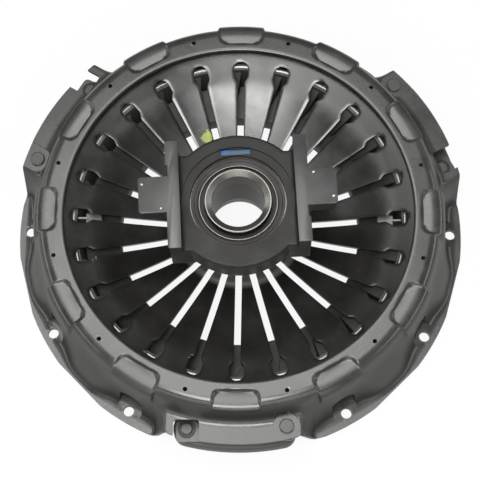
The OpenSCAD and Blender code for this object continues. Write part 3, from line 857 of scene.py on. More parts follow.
def dress(obj: bpy.types.Object, *finishes: Finish) -> None:
    """Gives an object its finishes; its faces start in the first.

    Args:
        obj: The object.
        *finishes: The finishes, one to each slot.
    """
    obj.data.materials.clear()
    for finish in finishes:
        obj.data.materials.append(finish.build())


# --------------------------------------------------------------------------- sub-assemblies


@dataclass
class PressedCover:
    """The pressed cover: ring with pockets, wall, three strap bridges and the bolting flange.

    The skin is one closed grid laid round the shaft. Each column blends the profile through a
    pocket, the profile between two bolts and the profile through a bridge.
    """

    sheet: float = 4.5
    top: float = 82.0
    # Pockets: azimuths, half their angle, inner end, corners, fade of their edge, barrel
    pockets: tuple[float, ...] = tuple(30.0 * k for k in range(12))
    pocket_half: float = 7.0
    pocket_from: float = 187.4
    pocket_corner: float = 8.0
    pocket_fade: Point = (-0.6, 2.4)
    crest_depth: float = 2.2
    crest_r: float = 200.5
    barrel_r: float = 55.0
    # Ring: drops of its inner rows, inner radius, radius within which it is level below, and its
    # small holes, which lie so many degrees past the pockets
    lip: tuple[float, ...] = (1.9, 0.55, 0.06)
    ring_r: float = 180.0
    ring_flat_r: float = 184.5
    pin_hole_circle: float = 194.5
    pin_hole_r: float = 2.3
    pin_hole_off: float = 15.0
    # Flange: bolt holes, upper face, where it is level below and within which height it counts,
    # edge between the bolts and at them, angle the edge swings over
    bolt_r: float = 225.0
    bolt_hole_r: float = 5.5
    flange_top: float = 6.0
    flange_from: float = 224.0
    flange_slack: float = 0.4
    edge_r: float = 234.4
    bolt_edge_r: float = 236.5
    bolt_swing: float = 15.0
    # Pad round each bolt hole, in the frame whose Y axis runs through the bolt
    pad_drop: float = 0.05
    pad_half: float = 14.6
    pad_root: float = 18.5
    pad_from: float = 209.85
    pad_bend: float = 218.0
    pad_to: float = 231.0
    # Arch over each pad: its round top, its foot, and the radii it is cut between
    arch_z: float = 29.5
    arch_r: float = 13.4
    arch_foot: Point = (13.8, 6.2)
    arch_cut: Point = (192.0, 229.0)
    # Bridges: top, outer edge, cover rivet, and where the legs start and end across the bridge
    shelf: float = 54.0
    shelf_r: float = 236.9
    leg_r: float = 228.0
    leg_soft: float = 0.14
    rivet_r: float = 224.2
    rivet_angle: float = 13.0
    spot_r: float = 14.0
    spot_depth: float = 0.8
    pad_top: float = 65.9
    pad_foot: float = 79.4
    wing_top: float = 72.3
    wing_foot: float = 85.8
    # Window under each bridge: from and to across it, from and to outwards, corners, underside
    window_x: Point = (-63.3, -37.0)
    window_y: Point = (212.6, 246.0)
    window_corner: float = 3.0
    window_low: float = 26.5
    cut_top: float = 62.0
    # How far tools reach outside the cover, and past the flange
    tool_r: float = 250.0
    drill_past: float = 3.0
    # Degrees off a bolt, and places along the wall, over which one profile fades into another,
    # and the radius at which the wall reads the pockets
    bolt_fade: Point = (4.0, 12.5)
    wall_fade: Point = (4.5, 8.5)
    leg_fade: Point = (1.0, 4.0)
    shoulder_r: float = 200.0
    # Degrees between columns, the degrees off a pocket's middle where they are close together,
    # and how near the middle of a leg they are
    fine: float = 0.22
    coarse: float = 0.62
    fine_bands: tuple[Point, ...] = ((3.2, 4.0), (5.4, 8.6))
    fine_leg: float = 10.0
    ring_rows: tuple[float, ...] = (180.1, 180.6, 181.6, 183.5, 185.4, 186.4, 187.2, 188.0, 188.8,
                                    189.8, 191.2, 193.5, 196.0, 198.0)
    through_pocket: tuple[Point, ...] = (
        (203.4, 79.8), (206.6, 79.1), (209.3, 77.6), (211.3, 74.9), (212.5, 71.0), (213.3, 66.3),
        (213.9, 60.7), (214.7, 53.2), (215.7, 44.0), (216.9, 34.5), (218.3, 25.0), (219.8, 16.5),
        (221.2, 10.8), (223.4, 7.4), (226.5, 6.0))
    between_bolts: tuple[Point, ...] = (
        (200.6, 81.6), (202.8, 80.8), (204.9, 79.4), (206.6, 77.2), (207.7, 74.2), (208.4, 70.2),
        (209.0, 65.0), (210.2, 58.8), (212.6, 51.5), (216.4, 42.5), (220.8, 32.0), (224.8, 21.0),
        (227.4, 12.6), (229.4, 7.8), (231.8, 6.1))
    through_bridge: tuple[Point, ...] = (
        (200.8, 81.5), (203.2, 80.4), (205.6, 78.4), (207.8, 75.4), (209.4, 71.4), (210.6, 66.4),
        (211.8, 61.4), (213.4, 57.4), (215.6, 55.1), (218.2, 54.2), (221.0, 54.0), (224.4, 54.0),
        (228.0, 54.0), (231.4, 54.0), (234.6, 54.0))
    columns: list[float] = field(default_factory=list)

    def __post_init__(self) -> None:
        """Lists the columns' azimuths, closer together where the shape changes quickly."""
        angle = 0.0
        while angle < 359.95:
            self.columns.append(angle)
            pocket = abs(off_nearest(angle, self.pockets))
            across = math.sin(math.radians(off_nearest(angle, BRIDGES))) * self.leg_r
            leg = min(abs(across - (self.pad_top + self.pad_foot) / 2),
                      abs(across + (self.wing_top + self.wing_foot) / 2))
            busy = any(low < pocket < high for low, high in self.fine_bands)
            angle += self.fine if busy or leg < self.fine_leg else self.coarse
        self.columns.append(360.0)

    def pocket_share(self, radius: float, angle: float) -> float:
        """Tells how deep a point lies in its nearest pocket.

        Args:
            radius: The point's radius.
            angle: The point's azimuth.

        Returns:
            0 outside the pockets, 1 on a pocket's floor.
        """
        off = math.radians(abs(off_nearest(angle, self.pockets)))
        away = radius * math.cos(off)
        side = away * math.tan(math.radians(self.pocket_half)) - radius * math.sin(off)
        end = away - self.pocket_from
        corner = self.pocket_corner
        inside = min(side, end)
        if side < corner and end < corner:
            inside = corner - math.hypot(corner - side, corner - end)
        return smooth(*self.pocket_fade, inside)

    def bridge_share(self, radius: float, angle: float) -> float:
        """Tells how far up a bridge's leg a point lies.

        Args:
            radius: The point's radius.
            angle: The point's azimuth.

        Returns:
            0 on the flange, 1 on a bridge's top.
        """
        across = radius * math.sin(math.radians(off_nearest(angle, BRIDGES)))
        pad = (self.pad_foot - across) / (self.pad_foot - self.pad_top)
        wing = (self.wing_foot + across) / (self.wing_foot - self.wing_top)
        return soft_ramp(min(pad, wing), self.leg_soft)

    def edge_radius(self, angle: float) -> float:
        """Gives the flange's outer radius at an azimuth: further out at the bolts."""
        off = max(0.0, self.bolt_swing - abs(off_nearest(angle, BOLTS)))
        return min(self.bolt_edge_r, self.edge_r / math.cos(math.radians(off)))

    def point(self, row: int, column: int) -> Vector:
        """Places one point of the outer skin.

        Args:
            row: Its row, from the ring's inner edge to the flange's outer edge.
            column: Its column.

        Returns:
            The point.
        """
        angle, ring = self.columns[column], len(self.ring_rows)
        if row < ring:
            radius = self.ring_rows[row]
            drop = self.lip[row] if row < len(self.lip) else 0.0
            barrel = max(0.0, self.crest_r - radius) ** 2 / (2.0 * self.barrel_r)
            depth = (self.crest_depth + barrel) * self.pocket_share(radius, angle)
            return polar(radius, angle, self.top - drop - depth)
        last = len(self.through_pocket) - 1
        index = (row - ring) / 2.0
        place, out = min(index, last), min(1.0, max(0.0, index - last))
        bolt = 1.0 - smooth(*self.bolt_fade, abs(off_nearest(angle, BOLTS)))
        pocket = self.pocket_share(self.shoulder_r, angle)
        share = mix(pocket, bolt, smooth(*self.wall_fade, place))
        r, z = (mix(a, b, share) for a, b in zip(along(self.between_bolts, place),
                                                 along(self.through_pocket, place)))
        bridge_r, bridge_z = along(self.through_bridge, place)
        if out > 0.0:
            r, z = mix(r, self.edge_radius(angle), out), self.flange_top
            bridge_r = mix(bridge_r, self.shelf_r, out)
        up = self.bridge_share(mix(r, bridge_r, 0.5), angle) * smooth(*self.leg_fade, place)
        return polar(mix(r, bridge_r, up), angle, mix(z, bridge_z, up))

    def cutters(self) -> bpy.types.Object:
        """Models all that is cut out of the skin: arches, small holes, windows, spot faces.

        Returns:
            One mesh of separate solids.
        """
        foot, low = self.arch_foot
        arch = arc_points(0, self.arch_z, self.arch_r, 0, 180, 16) + [(-foot, low), (foot, low)]
        upright = Matrix.Rotation(math.radians(90.0), 4, "X")
        near, far = self.arch_cut
        tools = [prism("arch", arch, -far, -near, turned(bolt - 90.0) @ upright)
                 for bolt in BOLTS]
        tools += [cylinder("pin_hole", self.pin_hole_r, self.top - 12.0, self.top + 8.0, 20,
                           polar(self.pin_hole_circle, self.pin_hole_off + pocket))
                  for pocket in self.pockets]
        (left, right), (inner, outer), corner = self.window_x, self.window_y, self.window_corner
        window = (arc_points(right - corner, inner + corner, corner, 270, 360, 5)
                  + [(right, outer), (left, outer)]
                  + arc_points(left + corner, inner + corner, corner, 180, 270, 5))
        rivet, wide = polar(self.rivet_r, 90.0 - self.rivet_angle), self.spot_r
        spot = [(rivet.x + wide, self.tool_r), (rivet.x - wide, self.tool_r)]
        spot += arc_points(rivet.x, rivet.y, wide, 180, 360, 16)
        for bridge in BRIDGES:
            frame = bridge_frame(bridge)
            tools.append(prism("window", window, self.window_low, self.cut_top, frame))
            tools.append(prism("spot", spot, self.shelf - self.spot_depth, self.cut_top, frame))
        return join(tools, "cover_cutters")

    def bolt_holes(self) -> bpy.types.Object:
        """Models the drills for the bolt holes."""
        low, high = -self.drill_past, self.flange_top + self.drill_past
        return join([cylinder("hole", self.bolt_hole_r, low, high, 48, polar(self.bolt_r, bolt))
                     for bolt in BOLTS], "drills")

    def pads(self) -> bpy.types.Object:
        """Models the flat round each bolt hole, which runs through the arch above it.

        Returns:
            One mesh of separate solids.
        """
        side, reach = self.pad_half, self.pad_from
        swing = math.degrees(math.asin(self.pad_root / reach))
        outline = [(side, self.pad_to), (-side, self.pad_to), (-side, self.pad_bend)]
        outline += arc_points(0, 0, reach, 90 + swing, 90 - swing, 10) + [(side, self.pad_bend)]
        high = self.flange_top - self.pad_drop
        return join([prism("pad", outline, 0.0, high, turned(bolt - 90.0)) for bolt in BOLTS],
                    "bolt_pads")

    def flatten_below(self, skin: bpy.types.Object, tops: Sequence[Vector]) -> None:
        """Levels the underside of the ring's edge and of the flange.

        Args:
            skin: The skin with its thickness, whose lower points follow its upper ones.
            tops: The upper points.
        """
        for above, under in zip(tops, skin.data.vertices[len(tops):]):
            radius = math.hypot(above.x, above.y)
            if radius < self.ring_flat_r:
                flat = max(radius, self.ring_r)
                under.co = Vector((above.x / radius * flat, above.y / radius * flat,
                                   self.top - self.sheet)) * MM
            elif above.z < self.flange_top + self.flange_slack and radius > self.flange_from:
                under.co = Vector((above.x, above.y, 0.0)) * MM

    def build(self) -> bpy.types.Object:
        """Models the cover and dresses it.

        Returns:
            The piece.
        """
        rows = len(self.ring_rows) + 2 * len(self.through_pocket) + 1
        skin = grid_surface("cover_skin", rows, len(self.columns), self.point, merge=0.01)
        face_up(skin)
        tops = [v.co.copy() / MM for v in skin.data.vertices]
        apply_modifier(skin, "SOLIDIFY", thickness=self.sheet * MM, offset=-1.0,
                       use_even_offset=False)
        self.flatten_below(skin, tops)
        cut(skin, self.cutters())
        cut(skin, self.pads(), "UNION")
        cut(skin, self.bolt_holes())
        soften(skin, 38.0)
        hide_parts("cover")
        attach(skin, "cover")
        dress(skin, COVER_SHEET)
        skin.name = "pressed_cover"
        return skin


@dataclass
class DriveStraps:
    """The three packs of spring leaves that carry the plate: each leaf an S-bend."""

    leaves: int = 3
    leaf: float = 1.15
    gap: float = 0.05
    # Undersides of the lowest leaf's two flats, where its bend runs, and how soft its ends are
    low: float = 30.6
    high: float = 45.8
    bend_half: float = 33.0
    bend_soft: float = 0.11
    # Outline and rivet holes in a bridge's frame
    back: float = -60.92
    front: float = 59.02
    middle: float = 218.45
    half: float = 12.98
    corner: float = 5.0
    rivet_x: float = 50.44
    hole_r: float = 5.06
    cut_heights: Point = (20.0, 60.0)
    # Height at which the straps stay when the plate lifts, and how far it lifts
    anchor: float = 49.5
    lift: float = 2.5
    rows: int = 73
    columns: int = 5

    def height(self, x: float) -> float:
        """Gives the lowest leaf's underside at a place along the strap."""
        share = (x + self.bend_half) / (2.0 * self.bend_half)
        return mix(self.low, self.high, soft_ramp(share, self.bend_soft))

    def strip(self, rise: float) -> bpy.types.Object:
        """Models one leaf before its outline and holes are cut.

        Args:
            rise: How far its upper face lies above the lowest leaf's underside.

        Returns:
            The leaf.
        """
        def place(row: int, column: int) -> Vector:
            """Places one point of the leaf's upper face.

            Args:
                row: Its row along the leaf.
                column: Its column across it.

            Returns:
                The point.
            """
            x = mix(self.back - 1.0, self.front + 1.0, row / (self.rows - 1))
            across = mix(-self.half - 1.0, self.half + 1.0, column / (self.columns - 1))
            return Vector((x, self.middle + across, self.height(x) + rise))

        made = grid_surface("leaf", self.rows, self.columns, place)
        face_up(made)
        apply_modifier(made, "SOLIDIFY", thickness=self.leaf * MM, offset=-1.0)
        return made

    def pack(self) -> bpy.types.Object:
        """Models one pack in its bridge's frame, with its holes and round corners.

        Returns:
            The pack.
        """
        left, right = self.back + self.corner, self.front - self.corner
        inner = self.middle - self.half + self.corner
        outer = self.middle + self.half - self.corner
        outline = []
        for k, (x, y) in enumerate(((right, outer), (left, outer), (left, inner), (right, inner))):
            outline += arc_points(x, y, self.corner, 90 * k, 90 * k + 90)
        made = []
        for level in range(self.leaves):
            strip = self.strip(level * (self.leaf + self.gap) + self.leaf)
            cut(strip, prism("leaf_outline", outline, *self.cut_heights), "INTERSECT")
            for x in (self.rivet_x, -self.rivet_x):
                cut(strip, cylinder("rivet_hole", self.hole_r, *self.cut_heights, 40,
                                    Vector((x, self.middle, 0.0))))
            made.append(strip)
        return join(made, "strap_pack")

    def build(self) -> list[bpy.types.Object]:
        """Places one pack, copies it round and dresses the packs.

        Returns:
            The pieces.
        """
        first = self.pack()
        move_mesh(first, bridge_frame(BRIDGES[0]))
        made: list[bpy.types.Object] = []
        for letter, bridge in zip("abc", BRIDGES):
            strap = twin(first) if made else first
            move_mesh(strap, turned(bridge - BRIDGES[0]))
            soften(strap, 35.0)
            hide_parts(f"drive_straps_{letter}")
            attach(strap, "cover")
            dress(strap, STRAP_STEEL)
            strap.name = f"strap_pack_{letter}"
            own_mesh(strap)
            made.append(strap)
        return made


@dataclass
class FingerSpring:
    """The dished spring: 24 fingers that join in a plain rim."""

    fingers: int = 24
    thickness: float = 4.2
    # Radii of the tips, of their flats' ends, of the rim's start and of its edge
    tip_r: float = 42.0
    flat_to: float = 60.0
    rim_from: float = 150.0
    rim_r: float = 199.4
    # Height at the tips, slope of a finger and how it grows, slope of the rim and how far before
    # and after its start it fades in, and the swell round the tips
    tip_z: float = 32.79
    slope: float = 0.165
    growth: float = 0.00116
    rim_slope: float = 0.289
    rim_fade: Point = (20.0, 16.0)
    swell: float = 1.5
    swell_r: float = 62.5
    swell_reach: float = 3.4
    # Half widths of the slots and of the windows, where the windows lie and how far before and
    # after their start they widen, and how much narrower the first rows are
    slot_half: float = 3.4
    window_half: float = 7.5
    window_from: float = 153.4
    window_to: float = 174.9
    window_fade: Point = (1.5, 6.5)
    tip_rounding: Point = (2.2, 0.7)
    edge: float = 0.55
    across: int = 9

    def height(self, radius: float) -> float:
        """Gives the height of the upper face.

        Args:
            radius: The radius.

        Returns:
            The height there.
        """
        step, whole = max(0.0, radius - self.flat_to), self.rim_from - self.flat_to
        finger = self.slope * step + self.growth * step * step
        rim = (self.slope * whole + self.growth * whole * whole
               + self.rim_slope * (radius - self.rim_from))
        swell = self.swell * math.exp(-((radius - self.swell_r) / self.swell_reach) ** 2)
        before, after = self.rim_fade
        share = smooth(self.rim_from - before, self.rim_from + after, radius)
        return self.tip_z + swell + mix(finger, rim, share)

    def slot(self, radius: float) -> float:
        """Gives half the width of the slot: narrow, then a window with a round end.

        Args:
            radius: The radius.

        Returns:
            Half the width there.
        """
        if radius >= self.window_to:
            return 0.0
        end = self.window_to - self.window_half
        if radius > end:
            return math.sqrt(max(0.0, self.window_half ** 2 - (radius - end) ** 2))
        before, after = self.window_fade
        share = smooth(self.window_from - before, self.window_from + after, radius)
        return mix(self.slot_half, self.window_half, share)

    def radii(self) -> list[float]:
        """Lists the rows' radii, closer together at the swell and round the window's end.

        Returns:
            The radii, from the tip outwards.
        """
        found = [self.tip_r, self.tip_r + 1.2, 48.0, 54.0]
        found += [56.5 + 1.5 * k for k in range(9)] + [72.0 + 6.0 * k for k in range(13)]
        found += [146.0, 149.0] + [151.0 + 1.0 * k for k in range(12)] + [164.5, 166.0]
        end = self.window_to - self.window_half
        found += [end + self.window_half * math.sin(math.radians(a)) for a in range(0, 91, 9)]
        return found + [178.0, 183.0, 188.0, 192.0, 195.5, 198.0, self.rim_r]

    def build(self) -> bpy.types.Object:
        """Models one finger with its share of the rim, copies it round and joins the copies.

        Returns:
            The piece.
        """
        radii, half = self.radii(), math.pi / self.fingers

        def place(row: int, column: int) -> Vector:
            """Places one point of a finger's upper face.

            Args:
                row: Its row, from the tip outwards.
                column: Its column across the finger.

            Returns:
                The point.
            """
            radius = radii[row]
            rounding = self.tip_rounding[row] if row < len(self.tip_rounding) else 0.0
            side = half - math.asin(min(0.99, (self.slot(radius) + rounding) / radius))
            angle = half + (column / (self.across - 1) * 2.0 - 1.0) * side
            return polar(radius, math.degrees(angle), self.height(radius))

        finger = grid_surface("finger", len(radii), self.across, place)
        face_up(finger)
        step = 360.0 / self.fingers
        spring = join(copies_round(finger, [step * k for k in range(self.fingers)]),
                      "finger_spring")
        with editing(spring):
            close_shell(0.03)
        face_up(spring)
        apply_modifier(spring, "SOLIDIFY", thickness=self.thickness * MM, offset=-1.0)
        bevel(spring, self.edge, 2, 55.0)
        soften(spring, 40.0)
        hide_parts("diaphragm_spring")
        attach(spring, "cover")
        dress(spring, SPRING_STEEL)
        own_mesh(spring)
        return spring


@dataclass
class CastPlate:
    """The cast pressure plate: friction ring, spring ridge, cooling ribs and three lugs."""

    inner: float = 126.5
    outer: float = 209.4
    low: float = 1.0
    high: float = 21.0
    # Ridge: circle, height and radius of its round top, and half the width of the bright band
    ridge_r: float = 172.5
    ridge_top: float = 55.3
    ridge_round: float = 3.45
    ridge_band: float = 4.5
    # Ribs: count, azimuth of the first, and the radius and half width at both ends
    rib_count: int = 24
    rib_offset: float = 2.9
    rib_from: Point = (143.0, 0.8)
    rib_to: Point = (170.0, 9.5)
    # Lugs: heights, round ends about the rivets, the degrees by which the far end is nearer, the
    # radius they grow from, and how far their outer arc is trimmed and their root spreads
    lug_low: float = 9.0
    lug_high: float = 30.5
    lug_end: float = 13.7
    lug_short: float = 1.0
    lug_root: float = 198.0
    lug_trim: float = 2.0
    lug_spread: float = 4.0
    rivet_r: float = 224.2
    rivet_angle: float = 13.0

    def ring(self) -> bpy.types.Object:
        """Spins the ring and its ridge.

        Returns:
            The closed solid.
        """
        low, high, ridge = self.low, self.high, self.ridge_r
        outline = [(self.inner + 1.5, low), (self.outer - 1.5, low), (self.outer, low + 1.5),
                   (self.outer, high - 2.5), (self.outer - 0.8, high - 0.8),
                   (self.outer - 2.5, high), (ridge + 10.5, high + 0.1),
                   (ridge + 8.4, high + 0.8), (ridge + 7.0, high + 3.0)]
        outline += arc_points(ridge, self.ridge_top, self.ridge_round, 5, 175, 10)
        outline += [(ridge - 7.0, high + 3.0), (ridge - 8.4, high + 0.8),
                    (ridge - 10.5, high + 0.1), (self.inner + 3.0, high),
                    (self.inner + 0.9, high - 0.8), (self.inner, high - 2.5),
                    (self.inner, low + 1.5)]
        return spun("plate_ring", outline, 180)

    def rib(self) -> bpy.types.Object:
        """Models one cooling rib: a wedge that widens and rises towards the ridge.

        Returns:
            The rib at azimuth 0.
        """
        (start, narrow), (end, wide) = self.rib_from, self.rib_to
        outline = [(start, -narrow), (end, -wide), (end, wide), (start, narrow)]
        lowest, highest = self.high + 1.2, self.ridge_top - 3.0
        made = prism("rib", outline, self.high - 2.0, lowest)
        for vertex in made.data.vertices:
            if vertex.co.z > self.high * MM:
                share = (vertex.co.x / MM - start) / (end - start)
                vertex.co.z = mix(lowest, highest, share) * MM
        bevel(made, 1.0, 3, 30.0)
        return made

    def lug(self) -> bpy.types.Object:
        """Models the lug of a bridge at azimuth 90: round about its rivet, shorter beyond.

        Returns:
            The lug.
        """
        end, trim, spread = self.lug_end, self.lug_trim, self.lug_spread
        start, stop = 90.0 + self.rivet_angle, 90.0 - self.rivet_angle + self.lug_short
        near, far = polar(self.rivet_r, start), polar(self.rivet_r, stop)
        outline = arc_points(0, 0, self.rivet_r + end, stop + trim, start - trim, 12)
        outline += arc_points(near.x, near.y, end, start, 180, 8)
        outline += [(near.x - end, near.y - spread)]
        outline += arc_points(0, 0, self.lug_root, start + spread, stop - spread, 12)
        outline += [(far.x + end, near.y - spread)]
        outline += arc_points(far.x, far.y, end, 0, stop, 8)
        made = prism("lug", outline, self.lug_low, self.lug_high, MIRROR_X)
        bevel(made, 1.8, 3, 50.0)
        return made

    def build(self) -> bpy.types.Object:
        """Models the plate and dresses it, with the ridge's top rubbed bright.

        Returns:
            The piece.
        """
        step, half = 360.0 / self.rib_count, self.rib_count // 2
        ring = self.ring()
        ribs = copies_round(self.rib(), [step * k + self.rib_offset
                                         for k in range(self.rib_count) if k % half])
        lugs = copies_round(self.lug(), [(bridge - 90.0) % 360.0 for bridge in BRIDGES])
        plate = join([ring, *ribs, *lugs], "cast_plate_body")
        soften(plate, 38.0)
        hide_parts("pressure_plate")
        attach(plate, "plate")
        dress(plate, CAST_PLATE, RIDGE_STEEL)
        for face in plate.data.polygons:
            centre = face.center / MM
            off = abs(math.hypot(centre.x, centre.y) - self.ridge_r)
            if centre.z > self.ridge_top - 1.0 and off < self.ridge_band:
                face.material_index = 1
        return plate


@dataclass
class BearingHousing:
    """The cast housing with two cheeks and two fork ears."""

    face: float = 111.986
    bottom: float = 60.986
    radius: float = 70.4
    hollow_r: float = 40.0
    taper_in: float = 6.0
    taper_z: float = 22.0
    cheek_in: float = 57.5
    cheek_out: float = 70.4
    cheek_half: float = 53.0
    ear_out: float = 97.4
    ear_half: float = 18.0
    ear_t: float = 20.0
    wear_z: float = 137.986
    # Machined bore, mouth above it and step in the face, and how far the tools reach past
    bore_r: float = 59.95
    bore_top: float = 101.1
    mouth_r: float = 49.0
    mouth_low: float = 95.0
    step_r: float = 57.3
    step_depth: float = 2.0
    past: float = 40.0
    # Slot for the clip: half its length, from and to outwards, depth
    slot_half: float = 15.6
    slot_y: Point = (49.7, 56.0)
    slot_depth: float = 8.1
    voxel: float = 1.25

    def raw(self) -> bpy.types.Object:
        """Joins the plain solids of the casting.

        Returns:
            The casting with sharp edges and no bores.
        """
        outline = [(self.hollow_r, self.bottom), (self.radius - self.taper_in, self.bottom),
                   (self.radius, self.bottom + self.taper_z), (self.radius, self.face),
                   (self.hollow_r, self.face)]
        body = spun("housing_body", outline, 96)
        # From and to outwards, half the width, lower and upper height
        spans = ((self.cheek_in, self.cheek_out, self.cheek_half, self.face - 4.0, self.wear_z),
                 (self.cheek_in - 12.0, self.cheek_out, self.cheek_half - 2.0,
                  self.bottom + 10.0, self.face),
                 (self.cheek_in + 2.0, self.ear_out, self.ear_half,
                  self.wear_z - self.ear_t, self.wear_z))
        for side in (1.0, -1.0):
            for near, away, half, low, high in spans:
                left, right = sorted((near * side, away * side))
                cut(body, block("solid", (left, -half, low), (right, half, high)), "UNION")
        return body

    def build(self) -> bpy.types.Object:
        """Rounds the casting, then cuts its machined mouth and bore.

        Returns:
            The piece.
        """
        body = self.raw()
        apply_modifier(body, "REMESH", mode="VOXEL", voxel_size=self.voxel * MM)
        apply_modifier(body, "SMOOTH", factor=0.5, iterations=5)
        apply_modifier(body, "DECIMATE", ratio=0.45)
        for radius, low, high in ((self.bore_r, self.bottom - 2.0, self.bore_top),
                                  (self.mouth_r, self.mouth_low, self.face + self.past),
                                  (self.step_r, self.face - self.step_depth,
                                   self.face + self.past)):
            cut(body, cylinder("bore", radius, low, high, 128))
        near, far = self.slot_y
        cut(body, block("clip_slot", (-self.slot_half, near, self.face - self.slot_depth),
                        (self.slot_half, far, self.face + 8.0)))
        move_mesh(body, turned(HOUSING_TURN))
        soften(body, 40.0)
        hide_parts("bearing_housing")
        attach(body, "housing")
        dress(body, CAST_HOUSING)
        body.name = "housing_casting"
        return body


@dataclass
class FaceSeal:
    """The seal in the housing's mouth: a rubber disc between a pressed rim and a lip."""

    outer: float = 48.9
    inner: float = 39.25
    low: float = 101.086
    top: float = 104.45

    def build(self) -> bpy.types.Object:
        """Spins the disc and dresses its two bright rims.

        Returns:
            The piece.
        """
        rim, lip, top = self.outer - 0.9, self.inner + 0.7, self.top
        outline = [(self.inner, self.low), (self.outer, self.low), (self.outer, top),
                   (self.outer - 0.25, top), (rim, top), (rim - 0.3, top - 0.7),
                   (rim - 3.0, top - 0.9), (rim - 3.6, top - 0.5), (lip + 1.2, top - 0.5),
                   (lip + 0.4, top - 0.9), (lip, top - 0.2), (self.inner, top - 0.2)]
        seal = spun("seal_disc", outline, 160)
        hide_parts("face_seal")
        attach(seal, "housing")
        dress(seal, SEAL_RUBBER, SEAL_RIM)
        for face in seal.data.polygons:
            radius = math.hypot(face.center.x, face.center.y) / MM
            high = face.center.z / MM > top - 0.5 and face.normal.z > 0.3
            if high and (radius > rim or radius < lip):
                face.material_index = 1
        soften(seal, 30.0)
        return seal


@dataclass
class WearPlates:
    """The two T-shaped wear plates on the cheeks."""

    low: float = 138.086
    thickness: float = 2.45
    inner: float = 57.5
    strip: float = 13.4
    half: float = 56.4
    chamfer: float = 1.5
    # Notch beside the tab: its depth, and where it starts and ends its slope
    notch: float = 2.2
    notch_y: Point = (31.0, 30.2)
    tab_half: float = 18.9
    tip: float = 98.4
    corner: float = 3.0

    def outline(self) -> list[Point]:
        """Gives the right plate's outline, with its round corners and the notch.

        Returns:
            The corners.
        """
        edge, half, chamfer, tab = self.inner + self.strip, self.half, self.chamfer, self.tab_half
        points = [(self.inner, half), (self.inner, -half), (edge - chamfer, -half),
                  (edge, chamfer - half), (edge, -self.notch_y[0]),
                  (edge - self.notch, -self.notch_y[1]), (edge - self.notch, -tab)]
        end = self.tip - self.corner
        points += arc_points(end, -tab + self.corner, self.corner, -90, 0, 5)
        points += arc_points(end, tab - self.corner, self.corner, 0, 90, 5)
        return points + [(edge, tab), (edge, half - chamfer), (edge - chamfer, half)]

    def build(self) -> list[bpy.types.Object]:
        """Models both plates and dresses them.

        Returns:
            The pieces.
        """
        made = []
        for name, extra in (("wear_plate_right", 0.0), ("wear_plate_left", 180.0)):
            plate = prism(name + "_sheet", self.outline(), self.low, self.low + self.thickness)
            bevel(plate, 0.5, 2, 40.0)
            move_mesh(plate, turned(HOUSING_TURN + extra))
            soften(plate, 35.0)
            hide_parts(name)
            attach(plate, "housing")
            dress(plate, WEAR_STEEL)
            made.append(plate)
        return made


@dataclass
class LockClip:
    """The blue clip at the housing's mouth, with a slot that shows its grey spring."""

    half: float = 15.5
    near: float = 49.8
    deep: float = 6.0
    low: float = 103.99
    top: float = 108.98
    slot_from: float = -6.5
    slot_to: float = 13.0
    slot_half: float = 1.9
    slot_depth: float = 0.9

    def build(self) -> bpy.types.Object:
        """Models the clip, cuts its slot and dresses the slot's floor grey.

        Returns:
            The piece.
        """
        middle, floor = self.near + self.deep / 2.0, self.top - self.slot_depth
        clip = block("clip_body", (-self.half, self.near, self.low),
                     (self.half, self.near + self.deep, self.top))
        bevel(clip, 0.5, 3, 30.0)
        cut(clip, block("slot", (self.slot_from, middle - self.slot_half, floor),
                        (self.slot_to, middle + self.slot_half, self.top + 2.0)))
        move_mesh(clip, turned(HOUSING_TURN))
        soften(clip, 40.0)
        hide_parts("lock_clip")
        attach(clip, "housing")
        dress(clip, BLUE_PLASTIC, CLIP_GREY)
        for face in clip.data.polygons:
            if abs(face.center.z / MM - floor) < 0.05 and face.normal.z > 0.9:
                face.material_index = 1
        clip.name = "clip_piece"
        return clip


# --------------------------------------------------------------------------- studio


@dataclass(frozen=True)
class Lamp:
    """A soft box: how far it stands from overhead to the right and back, and its brightness.

    The angles are in degrees, the lengths in metres, and the white background has brightness 1.
    """

    name: str
    right: float
    back: float
    distance: float
    width: float
    height: float
    brightness: float

    def add(self) -> None:
        """Adds the area lamp, facing the object."""
        tilt_x, tilt_y = (math.tan(math.radians(v)) for v in (self.right, self.back))
        place = Vector((tilt_x, tilt_y, 1.0)).normalized() * self.distance
        data = bpy.data.lights.new(self.name, "AREA")
        data.shape = "RECTANGLE"
        data.size, data.size_y = self.width, self.height
        data.energy = self.brightness * math.pi * self.width * self.height
        made = bpy.data.objects.new(self.name, data)
        bpy.context.scene.collection.objects.link(made)
        aim = (-place).to_track_quat("-Z", "Y").to_matrix().to_4x4()
        made.matrix_world = Matrix.Translation(place) @ aim


